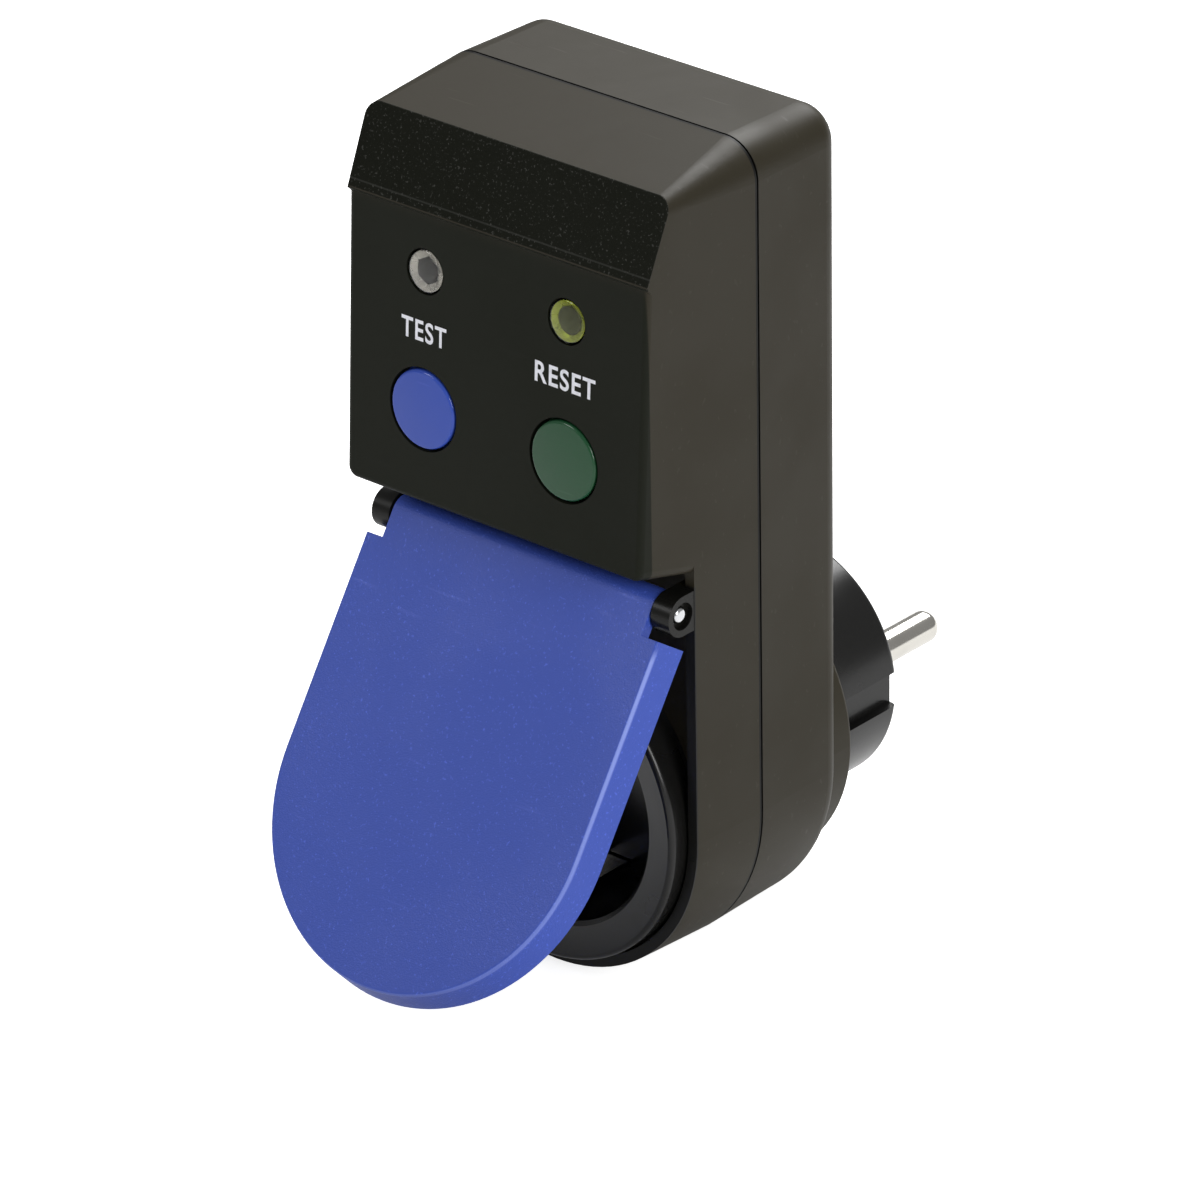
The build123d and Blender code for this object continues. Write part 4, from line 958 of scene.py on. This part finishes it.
@dataclass
class LidSpring:
    """Torsion spring round the hinge pin: close turns between two straight legs."""

    axes: Axes
    mean_radius: float = 1.65 * MM
    wire: float = 0.55 * MM
    width: float = 8.9 * MM
    turns: float = 15.0
    floor_leg: float = 4.2 * MM
    steps: int = 28

    def mesh(self) -> bpy.types.Mesh:
        """Wire along the turns and the leg that stands on the pocket floor.

        Returns:
            The closed mesh. The turns are (radius cos t, radius sin t, width t), and the leg leaves the
            last turn along its tangent.
        """
        count = int(self.turns * self.steps)
        start, end = radians(150), radians(150) + 2 * pi * self.turns
        angle = np.linspace(start, end, count)
        reach = (self.width - self.wire) / 2
        across = np.linspace(-reach, reach, count)
        coil = np.stack([self.mean_radius * np.cos(angle), self.mean_radius * np.sin(angle), across], axis=-1)
        way = np.array([-sin(end), cos(end), 0.0])
        leg = coil[-1] + np.linspace(0.0, self.floor_leg, 12)[1:, None] * way
        return swept_tube("lid_torsion_spring", self.axes.place(np.vstack([coil, leg])), self.wire / 2)


@dataclass
class Indicator:
    """Clear indicator cap over a bright faceted reflector with a dark middle."""

    side: Way
    radius: float = 3.13 * MM
    sink: float = 0.1 * MM
    dome: float = 0.33 * MM
    skin: float = 0.1 * MM
    flange_radius: float = 3.72 * MM
    flange_low: float = 2.32 * MM
    flange_high: float = 3.18 * MM
    mouth_radius: float = 3.0 * MM
    throat_radius: float = 2.05 * MM
    throat_depth: float = 0.4 * MM
    facets: int = 6
    twist: float = 0.5
    cup_gap: float = 0.1 * MM
    cup_wall: float = 0.25 * MM
    seat_gap: float = 0.12 * MM
    seat_crown: float = 0.3 * MM
    seat_depth: float = 0.35 * MM

    def axes(self, layout: Layout) -> Axes:
        """Frame of the indicator: on the panel, z inward."""
        return layout.panel().moved(self.side.value * layout.button_x, -layout.indicator_rise, 0.0)

    def name(self, part: str) -> str:
        """Name of one of the indicator's pieces."""
        return f"{self.side.name.lower()}_indicator_{part}"

    def cap(self, layout: Layout) -> bpy.types.Mesh:
        """Hollow clear cap: a shallow dome with a wall and a flange behind the panel.

        Args:
            layout: the driving places.

        Returns:
            The mesh. The dome's height over its edge falls with the square of the radius.
        """
        span = np.linspace(0.0, 1.0, 14)
        height = self.sink - self.dome * (1 - span**2)
        inner_radius = self.radius - self.skin
        outer = np.stack([span * self.radius, height], axis=-1)
        inner = np.stack([span * inner_radius, height + self.skin], axis=-1)[::-1]
        wall = np.array(
            [
                [self.radius, self.flange_low],
                [self.flange_radius, self.flange_low],
                [self.flange_radius, self.flange_high],
                [inner_radius, self.flange_high],
            ]
        )
        return lathe(self.name("cap"), self.axes(layout), np.vstack([outer, wall, inner]))

    def reflector(self, layout: Layout) -> bpy.types.Mesh:
        """Faceted cup from the mouth to the throat.

        At the throat the radius at each angle is divided by the cosine of the angle to the middle of the
        nearest facet, so the opening has flat sides. The mouth is round. The rows between take a power of
        that factor, which grows with their share of the way, and turn a little on their way in.

        Args:
            layout: the driving places.

        Returns:
            The mesh, a closed band with a thin wall.
        """
        sides, rows = 96, 8
        angle = np.linspace(0.0, 2 * pi, sides, endpoint=False)[None, :]
        share = np.linspace(0.0, 1.0, rows)[:, None]
        step = 2 * pi / self.facets
        flat = cos(step / 2) / np.cos(np.mod(angle + self.twist * share, step) - step / 2)
        radius = (self.mouth_radius + (self.throat_radius - self.mouth_radius) * share) * flat**share
        depth = self.sink + self.skin + self.cup_gap + self.throat_depth * share**1.3 + 0.0 * angle
        cup = np.stack([radius * np.cos(angle), radius * np.sin(angle), depth], axis=-1)
        back = cup[::-1].copy()
        back[..., 2] += self.cup_wall
        band = self.axes(layout).place(np.concatenate([cup, back, cup[:1]]))
        return outward(mesh_from_grid(self.name("reflector"), band, wrap=True, caps=False))

    def middle(self, layout: Layout) -> bpy.types.Mesh:
        """Dark seat in the throat: a disc with a low crown.

        Args:
            layout: the driving places.

        Returns:
            The mesh. The crown's height falls with the square of the radius.
        """
        span = np.linspace(0.0, 1.0, 12)
        top = self.sink + self.skin + self.throat_depth + self.seat_gap
        low = top + self.seat_depth
        crown = np.stack([span * self.throat_radius, top - self.seat_crown * (1 - span**2)], axis=-1)
        base = np.array([[self.throat_radius, low], [0.0, low]])
        return lathe(self.name("middle"), self.axes(layout), np.vstack([crown, base]), 48)


@dataclass
class Lettering:
    """A plain function word printed between an indicator and its button."""

    word: str
    side: Way
    middle_rise: float
    height: float = 3.1 * MM
    width: float = 8.2 * MM
    weight: float = 0.018
    spacing: float = 1.14
    lift: float = 0.025 * MM
    thickness: float = 0.02 * MM

    def mesh(self, layout: Layout) -> bpy.types.Mesh:
        """Word as a flat mesh, scaled to its height and width and laid on the panel.

        Args:
            layout: the driving places.

        Returns:
            The mesh in the row's frame.
        """
        curve = bpy.data.curves.new(self.word, "FONT")
        curve.body = self.word
        curve.align_x = "CENTER"
        curve.align_y = "CENTER"
        curve.offset = self.weight
        curve.space_character = self.spacing
        curve.extrude = 0.5
        holder = bpy.data.objects.new(self.word, curve)
        mesh = bpy.data.meshes.new_from_object(holder)
        bpy.data.objects.remove(holder)
        count = len(mesh.vertices)
        flat = np.empty(count * 3)
        mesh.vertices.foreach_get("co", flat)
        points = flat.reshape(-1, 3)
        low, high = points.min(axis=0), points.max(axis=0)
        unit = (points - (low + high) / 2) / (high - low)
        scaled = unit * np.array([self.width, self.height, self.thickness])
        panel = layout.panel().moved(self.side.value * layout.button_x, -self.middle_rise, -self.lift)
        local = np.stack([scaled[:, 0], -scaled[:, 1], -scaled[:, 2]], axis=-1)
        mesh.vertices.foreach_set("co", panel.place(local).ravel())
        mesh.name = f"{self.word.lower()}_word"
        return outward(mesh)


@dataclass
class TripCoil:
    """Enamelled winding of the trip coil."""

    left: float = -20.1 * MM
    right: float = -8.5 * MM
    radius: float = 5.45 * MM
    bore: float = 3.3 * MM
    depth: float = 24.0 * MM
    turns: int = 24

    def mesh(self, layout: Layout) -> bpy.types.Mesh:
        """Ridged turned form about the coil's axis.

        Args:
            layout: the driving places.

        Returns:
            The mesh. The radius is the outer radius less 0.4 of a turn's width times one minus the
            absolute sine along the coil.
        """
        panel = layout.panel()
        axes = Axes(panel.place(np.array([0.0, 0.0, self.depth])), panel.y, panel.z, panel.x)
        along = np.linspace(self.left, self.right, self.turns * 8 + 1)
        pitch = (self.right - self.left) / self.turns
        ridge = pitch * 0.4 * (1 - np.abs(np.sin(pi * (along - self.left) / pitch)))
        outer = np.stack([self.radius - ridge, along], axis=-1)
        inner = np.array([[self.bore, self.right], [self.bore, self.left]])
        return lathe("coil_turns", axes, np.vstack([outer, inner, outer[:1]]), 64)


class Finishes:
    """Every finish of the adapter, built once and looked up by name."""

    def __init__(self, effects: Effects) -> None:
        """Builds the finishes.

        Args:
            effects: the shared shader groups.
        """
        warm_black = shade(0.0255, 0.0215, 0.0125)
        black = shade(0.0075, 0.0074, 0.007)
        button = {"cells": 5000.0, "depth": 0.003 * MM, "specular": 0.38}
        cup = {"stretch": EVEN, "depth": 0.0002 * MM, "tarnish": 0.1}
        insulation = {"cells": 3000.0}
        finishes = {
            "shell": ShellPlastic(
                "shell plastic", warm_black, 0.5, cells=5200.0, depth=0.006 * MM, specular=0.2
            ),
            "insert": MouldedPlastic(
                "insert plastic", black, 0.24, cells=5000.0, depth=0.004 * MM, specular=0.38
            ),
            "rubber": MouldedPlastic(
                "seal rubber", shade(0.008, 0.008, 0.008), 0.7, cells=6000.0, specular=0.3
            ),
            "lid": LidPlastic(
                "lid plastic",
                shade(0.046, 0.091, 0.46),
                0.4,
                cells=4300.0,
                coarse=0.9,
                depth=0.034 * MM,
                specular=0.3,
                speck=0.75,
            ),
            "blue_button": MouldedPlastic("blue button plastic", shade(0.034, 0.078, 0.43), 0.16, **button),
            "green_button": MouldedPlastic("green button plastic", shade(0.012, 0.07, 0.027), 0.16, **button),
            "clear": ClearPlastic("clear indicator", shade(0.96, 0.96, 0.95)),
            "yellow_clear": ClearPlastic("yellow-green indicator", shade(0.86, 0.93, 0.42)),
            "reflector": DrawnMetal("grey reflector", shade(0.24, 0.228, 0.2), 0.3, **cup),
            "green_reflector": DrawnMetal("yellow reflector", shade(0.19, 0.19, 0.055), 0.3, **cup),
            "dark_middle": MouldedPlastic("dark middle", shade(0.006, 0.005, 0.002), 0.6, specular=0.05),
            "steel": DrawnMetal("bright steel", shade(0.72, 0.73, 0.75), 0.18, stretch=(0.05, 1.0, 1.0)),
            "zinc": DrawnMetal("zinc plate", shade(0.56, 0.57, 0.6), 0.32, stretch=EVEN),
            "nickel": DrawnMetal("nickel plate", shade(0.7, 0.68, 0.63), 0.2),
            "brass": DrawnMetal("rolled brass", shade(0.74, 0.52, 0.22), 0.26),
            "copper": DrawnMetal("contact copper", shade(0.76, 0.4, 0.24), 0.3),
            "iron": DrawnMetal("core iron", shade(0.16, 0.16, 0.17), 0.5, stretch=EVEN),
            "board": SolderMask(),
            "white": MouldedPlastic(
                "white moulding", shade(0.68, 0.66, 0.6), 0.4, cells=4000.0, depth=0.006 * MM
            ),
            "coil": Banded(
                "enamelled wire", shade(0.5, 0.16, 0.05), shade(0.68, 0.27, 0.1), 0, 0.2 * MM, metallic=0.6
            ),
            "tape": Banded(
                "winding tape", shade(0.66, 0.48, 0.08), shade(0.5, 0.35, 0.05), 2, 1.6 * MM, share=0.2
            ),
            "brown": MouldedPlastic("brown insulation", shade(0.13, 0.045, 0.02), 0.42, **insulation),
            "blue_wire": MouldedPlastic("blue insulation", shade(0.03, 0.09, 0.4), 0.42, **insulation),
            "disc": MouldedPlastic("dipped disc", shade(0.03, 0.1, 0.34), 0.24, cells=1200.0),
            "film": MouldedPlastic("film box", shade(0.66, 0.44, 0.05), 0.3),
            "chip": MouldedPlastic(
                "chip body", shade(0.012, 0.012, 0.012), 0.5, cells=3500.0, depth=0.01 * MM
            ),
            "resistor": Banded(
                "resistor lacquer", shade(0.55, 0.38, 0.2), shade(0.16, 0.04, 0.02), 0, 1.5 * MM, share=0.3
            ),
            "print": Ink(),
        }
        self.made = {key: finish.build(effects) for key, finish in finishes.items()}

    def __getitem__(self, key: str) -> bpy.types.Material:
        """The material of one finish."""
        return self.made[key]


@dataclass
class Housing:
    """Both shells, their seal and their screws, with what is printed on the panel."""

    layout: Layout
    test_rise: float = 11.5 * MM
    reset_rise: float = 11.8 * MM
    reset_width: float = 10.8 * MM

    def dress(self, finishes: Finishes, dresser: Dresser) -> None:
        """Gives the shells their finish and prints the two words.

        Args:
            finishes: the adapter's materials.
            dresser: adds the pieces.
        """
        paint(
            finishes,
            {
                "front_housing": "shell",
                "rear_housing": "shell",
                "housing_gasket": "rubber",
                "housing_screws": "zinc",
            },
        )
        words = [
            Lettering("TEST", Way.LEFT, self.test_rise),
            Lettering("RESET", Way.RIGHT, self.reset_rise, width=self.reset_width),
        ]
        for word in words:
            dresser.add(word.mesh(self.layout), finishes["print"], "housing", "white_plastic")


@dataclass
class Controls:
    """Buttons, their springs and the two indicators."""

    layout: Layout
    spring_radius: float = 3.45 * MM
    spring_wire: float = 0.65 * MM
    spring_top: float = 3.55 * MM
    spring_turns: float = 7.0
    travel: float = 2.0 * MM

    def dress(self, finishes: Finishes, dresser: Dresser) -> None:
        """Paints the buttons and makes the springs and indicators.

        Args:
            finishes: the adapter's materials.
            dresser: adds the pieces.
        """
        paint(
            finishes,
            {
                "test_button": "blue_button",
                "reset_button": "green_button",
                "indicator_leds": "clear",
            },
        )
        self.springs(finishes, dresser)
        tints = {
            Way.LEFT: ("test_lens", "clear", "reflector", "clear_lens"),
            Way.RIGHT: ("reset_lens", "yellow_clear", "green_reflector", "green_lens"),
        }
        for side, (node, clear, cup, slot) in tints.items():
            indicator = Indicator(side, facets=6 if side is Way.LEFT else 24)
            dresser.add(indicator.cap(self.layout), finishes[clear], "housing", slot, [node])
            dresser.add(indicator.reflector(self.layout), finishes[cup], "housing", slot)
            dresser.add(indicator.middle(self.layout), finishes["dark_middle"], "housing", "part_black")

    def springs(self, finishes: Finishes, dresser: Dresser) -> None:
        """Return springs between the buttons' flanges and the board.

        Args:
            finishes: the adapter's materials.
            dresser: adds the pieces.
        """
        length = self.layout.board_depth - self.spring_top - 0.02 * MM
        panel = self.layout.panel()
        for side, node, joint in (
            (Way.LEFT, "test_button_spring", "test_press"),
            (Way.RIGHT, "reset_button_spring", "reset_press"),
        ):
            axes = panel.moved(side.value * self.layout.button_x, 0.0, self.spring_top)
            spring = CoilSpring(
                f"{node}_coil", axes, self.spring_radius, self.spring_wire, length, self.spring_turns
            )
            piece = dresser.add(spring.mesh(), finishes["steel"], "housing", "steel", [node])
            foot = axes.place(np.array([0.0, 0.0, length]))
            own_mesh(piece)


@dataclass
class Outlet:
    """Outlet cup, its contacts and seal."""

    def dress(self, finishes: Finishes, dresser: Dresser) -> None:
        """Gives the outlet's pieces their finishes.

        Args:
            finishes: the adapter's materials.
            dresser: adds pieces, of which there are none here.
        """
        paint(
            finishes,
            {
                "outlet_insert": "insert",
                "outlet_gasket": "rubber",
                "outlet_screws": "zinc",
                "line_receptacle": "brass",
                "neutral_receptacle": "brass",
                "outlet_earth_clips": "nickel",
                "earth_link": "brass",
            },
        )


@dataclass
class Plug:
    """Round plug, its pins and earth strap."""

    def dress(self, finishes: Finishes, dresser: Dresser) -> None:
        """Gives the plug's pieces their finishes.

        Args:
            finishes: the adapter's materials.
            dresser: adds pieces, of which there are none here.
        """
        paint(
            finishes,
            {
                "plug_base": "insert",
                "plug_base_screws": "zinc",
                "line_pin": "nickel",
                "neutral_pin": "nickel",
                "plug_earth_strap": "nickel",
            },
        )


@dataclass
class Lid:
    """Hinged lid with its pin and closing spring."""

    layout: Layout

    def dress(self, finishes: Finishes, dresser: Dresser) -> None:
        """Paints the lid and winds its spring.

        Args:
            finishes: the adapter's materials.
            dresser: adds the spring.
        """
        paint(finishes, {"lid": "lid", "hinge_pin": "steel"})
        spring = LidSpring(self.layout.hinge())
        dresser.add(spring.mesh(), finishes["steel"], "housing", "steel", ["lid_spring"])


@dataclass
class Mechanism:
    """Board, contacts, trip coil, latch, transformer and wires."""

    layout: Layout
    carriage_back: float = 26.0 * MM
    base_depth: float = 32.6 * MM
    travel: float = 2.0 * MM
    carriage_spring_radius: float = 2.6 * MM
    carriage_spring_wire: float = 0.55 * MM
    plunger_spring_radius: float = 1.75 * MM
    plunger_spring_wire: float = 0.45 * MM
    plunger_spring_left: float = -21.05 * MM
    plunger_spring_right: float = -16.55 * MM
    coil_depth: float = 24.0 * MM
    plunger_travel: float = 1.5 * MM

    def dress(self, finishes: Finishes, dresser: Dresser) -> None:
        """Paints the mechanism and winds its coil and springs.

        Args:
            finishes: the adapter's materials.
            dresser: adds the pieces.
        """
        paint(
            finishes,
            {
                "circuit_board": "board",
                "mechanism_base": "white",
                "mechanism_screws": "zinc",
                "contact_carriage": "chip",
                "contact_bridges": "copper",
                "line_contacts": "copper",
                "neutral_contacts": "copper",
                "test_contact": "nickel",
                "coil_bobbin": "white",
                "coil_yoke": "zinc",
                "trip_plunger": "steel",
                "latch_lever": "zinc",
                "latch_pin": "steel",
                "transformer_core": "iron",
                "transformer_winding": "tape",
                "line_feed_wire": "brown",
                "neutral_feed_wire": "blue_wire",
                "line_load_wire": "brown",
                "neutral_load_wire": "blue_wire",
                "varistor": "disc",
                "film_capacitor": "film",
                "control_chip": "chip",
                "resistors": "resistor",
            },
        )
        winding = TripCoil().mesh(self.layout)
        dresser.add(winding, finishes["coil"], "housing", "copper_wire", ["coil_winding"])
        self.carriage_spring(finishes, dresser)
        self.plunger_spring(finishes, dresser)

    def carriage_spring(self, finishes: Finishes, dresser: Dresser) -> None:
        """Opening spring behind the carriage.

        Args:
            finishes: the adapter's materials.
            dresser: adds the piece.
        """
        panel = self.layout.panel()
        length = self.base_depth - self.carriage_back - 0.04 * MM
        axes = panel.moved(self.layout.button_x, 0.0, self.carriage_back + 0.02 * MM)
        spring = CoilSpring(
            "carriage_spring_coil", axes, self.carriage_spring_radius, self.carriage_spring_wire, length, 5.0
        )
        piece = dresser.add(spring.mesh(), finishes["steel"], "housing", "steel", ["carriage_spring"])
        foot = axes.place(np.array([0.0, 0.0, length]))
        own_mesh(piece)

    def plunger_spring(self, finishes: Finishes, dresser: Dresser) -> None:
        """Return spring of the plunger.

        Args:
            finishes: the adapter's materials.
            dresser: adds the piece.
        """
        panel = self.layout.panel()
        start = panel.place(np.array([self.plunger_spring_left, 0.0, self.coil_depth]))
        axes = Axes(start, panel.y, panel.z, panel.x)
        length = self.plunger_spring_right - self.plunger_spring_left
        spring = CoilSpring(
            "plunger_spring_coil", axes, self.plunger_spring_radius, self.plunger_spring_wire, length, 4.0
        )
        piece = dresser.add(spring.mesh(), finishes["steel"], "housing", "steel", ["plunger_spring"])
        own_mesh(piece)


def paint(finishes: Finishes, parts: dict[str, str]) -> None:
    """Gives each CAD node its finish.

    Args:
        finishes: the adapter's materials.
        parts: node names and the finish of each.
    """
    for node, key in parts.items():
        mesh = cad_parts[node].data
        mesh.materials.clear()
        mesh.materials.append(finishes[key])


@dataclass
class Studio:
    """White floor and backdrop, soft lamps and the camera.

    Each box is a lamp's name, its place and width in metres, and its power in watts.
    """

    floor_drop: float = 0.6 * MM
    floor_reach: float = 3.0
    azimuth: float = 41.633
    elevation: float = 26.728
    roll: float = -1.0425
    focal_pixels: float = 8008.0
    image_pixels: float = 1181.0
    shift_right: float = 2.786 * MM
    shift_up: float = -22.589 * MM
    distance: float = 1120.384 * MM
    scale: float = 1.008
    seam_y: float = -40.9 * MM
    mirror_share: float = 0.12
    paper: float = 0.82
    seen_strength: float = 0.8
    world_strength: float = 0.2
    sensor_width: float = 36.0
    clip_start: float = 0.05
    clip_end: float = 20.0
    boxes: tuple = (
        ("top_box", (-0.2, 0.7, 0.88), 0.7, 16.0),
        ("right_box", (0.95, -0.3, 0.45), 0.5, 6.0),
        ("front_box", (-0.55, -0.95, 0.75), 0.38, 3.5),
    )

    def build(self) -> None:
        """Builds the whole studio."""
        self.camera()
        self.floor()
        self.world()
        self.lamps()
        bpy.context.scene.view_settings.view_transform = "Standard"

    def axes(self) -> tuple[np.ndarray, np.ndarray, np.ndarray]:
        """Directions of the camera, from its azimuth, elevation and roll.

        Returns:
            Its right, its up and its backward direction.
        """
        turn, rise, roll = radians(self.azimuth), radians(self.elevation), radians(self.roll)
        back = np.array([sin(turn) * cos(rise), -cos(turn) * cos(rise), sin(rise)])
        right = np.array([cos(turn), sin(turn), 0.0])
        up = np.array([-sin(turn) * sin(rise), cos(turn) * sin(rise), cos(rise)])
        return cos(roll) * right + sin(roll) * up, cos(roll) * up - sin(roll) * right, back

    def camera(self) -> None:
        """Camera at the photograph's angle and distance."""
        right, up, back = self.axes()
        place = self.distance * back - self.shift_right * right - self.shift_up * up
        place = self.scale * place + np.array([0.0, self.seam_y, 0.0])
        data = bpy.data.cameras.new("camera")
        data.sensor_width = self.sensor_width
        data.lens = data.sensor_width * self.focal_pixels / self.image_pixels
        data.clip_start, data.clip_end = self.clip_start, self.clip_end
        camera = bpy.data.objects.new("camera", data)
        bpy.context.scene.collection.objects.link(camera)
        turn = Matrix([list(right), list(up), list(back)]).transposed().to_4x4()
        camera.matrix_world = Matrix.Translation(Vector(place)) @ turn
        bpy.context.scene.camera = camera

    def floor(self) -> None:
        """Large white floor just under the object."""
        reach, level = self.floor_reach, cad_low.z - self.floor_drop
        corners = np.array([[-reach, -reach], [reach, -reach], [reach, reach], [-reach, reach]])
        mesh = bpy.data.meshes.new("floor")
        mesh.from_pydata([(x, y, level) for x, y in corners], [], [(0, 1, 2, 3)])
        floor = bpy.data.objects.new("floor", mesh)
        bpy.context.scene.collection.objects.link(floor)
        material = bpy.data.materials.new("studio white")
        material.use_nodes = True
        graph = Graph(material.node_tree)
        paper = graph.node("ShaderNodeBsdfDiffuse", Color=shade(self.paper, self.paper, self.paper))
        strength = self.seen(graph, self.seen_strength)
        glow = graph.node("ShaderNodeEmission", Color=shade(1.0, 1.0, 1.0), Strength=strength)
        both = graph.node("ShaderNodeAddShader")
        graph.feed(both, 0, paper.outputs[0])
        graph.feed(both, 1, glow.outputs[0])
        output = graph.node("ShaderNodeOutputMaterial")
        graph.feed(output, "Surface", both.outputs[0])
        mesh.materials.append(material)

    def seen(self, graph: Graph, strength: float) -> Socket:
        """Strength for rays from the camera, in mirrors and through glass, and none for other light.

        Args:
            graph: the graph to add to.
            strength: the strength that the camera sees.

        Returns:
            The strength's socket.
        """
        path = graph.node("ShaderNodeLightPath").outputs
        direct = graph.math("ADD", path["Is Camera Ray"], path["Is Transmission Ray"], clamp=True)
        mirrored = graph.math("MULTIPLY", path["Is Glossy Ray"], self.mirror_share)
        return graph.math("MULTIPLY", graph.math("ADD", direct, mirrored, clamp=True), strength)

    def world(self) -> None:
        """White world for the camera, and a dimmer even light for the object."""
        world = bpy.data.worlds.new("studio")
        world.use_nodes = True
        graph = Graph(world.node_tree)
        strength = graph.math("ADD", self.seen(graph, self.seen_strength), self.world_strength)
        back = graph.node("ShaderNodeBackground", Color=shade(1.0, 1.0, 1.0), Strength=strength)
        output = graph.node("ShaderNodeOutputWorld")
        graph.feed(output, "Surface", back.outputs[0])
        bpy.context.scene.world = world

    def lamps(self) -> None:
        """Soft boxes: one behind above, one on the right and one on the left in front."""
        target = (cad_low + cad_high) / 2
        for name, place, width, power in self.boxes:
            data = bpy.data.lights.new(name, "AREA")
            data.shape = "SQUARE"
            data.size = width
            data.energy = power
            lamp = bpy.data.objects.new(name, data)
            bpy.context.scene.collection.objects.link(lamp)
            lamp.location = Vector(place)
            lamp.rotation_mode = "QUATERNION"
            lamp.rotation_quaternion = (target - lamp.location).to_track_quat("-Z", "Y")


def main() -> None:
    """Dresses every sub-assembly in order and sets up the studio."""
    logging.basicConfig(level=logging.INFO, format="%(message)s")
    layout = Layout()
    finishes = Finishes(Effects())
    dresser = Dresser()
    for part in (Housing(layout), Controls(layout), Outlet(), Plug(), Lid(layout), Mechanism(layout)):
        part.dress(finishes, dresser)
        LOG.info("dressed %s", type(part).__name__)
    Studio().build()
    LOG.info("pieces made: %d", dresser.made)


if __name__ == "__main__":
    main()
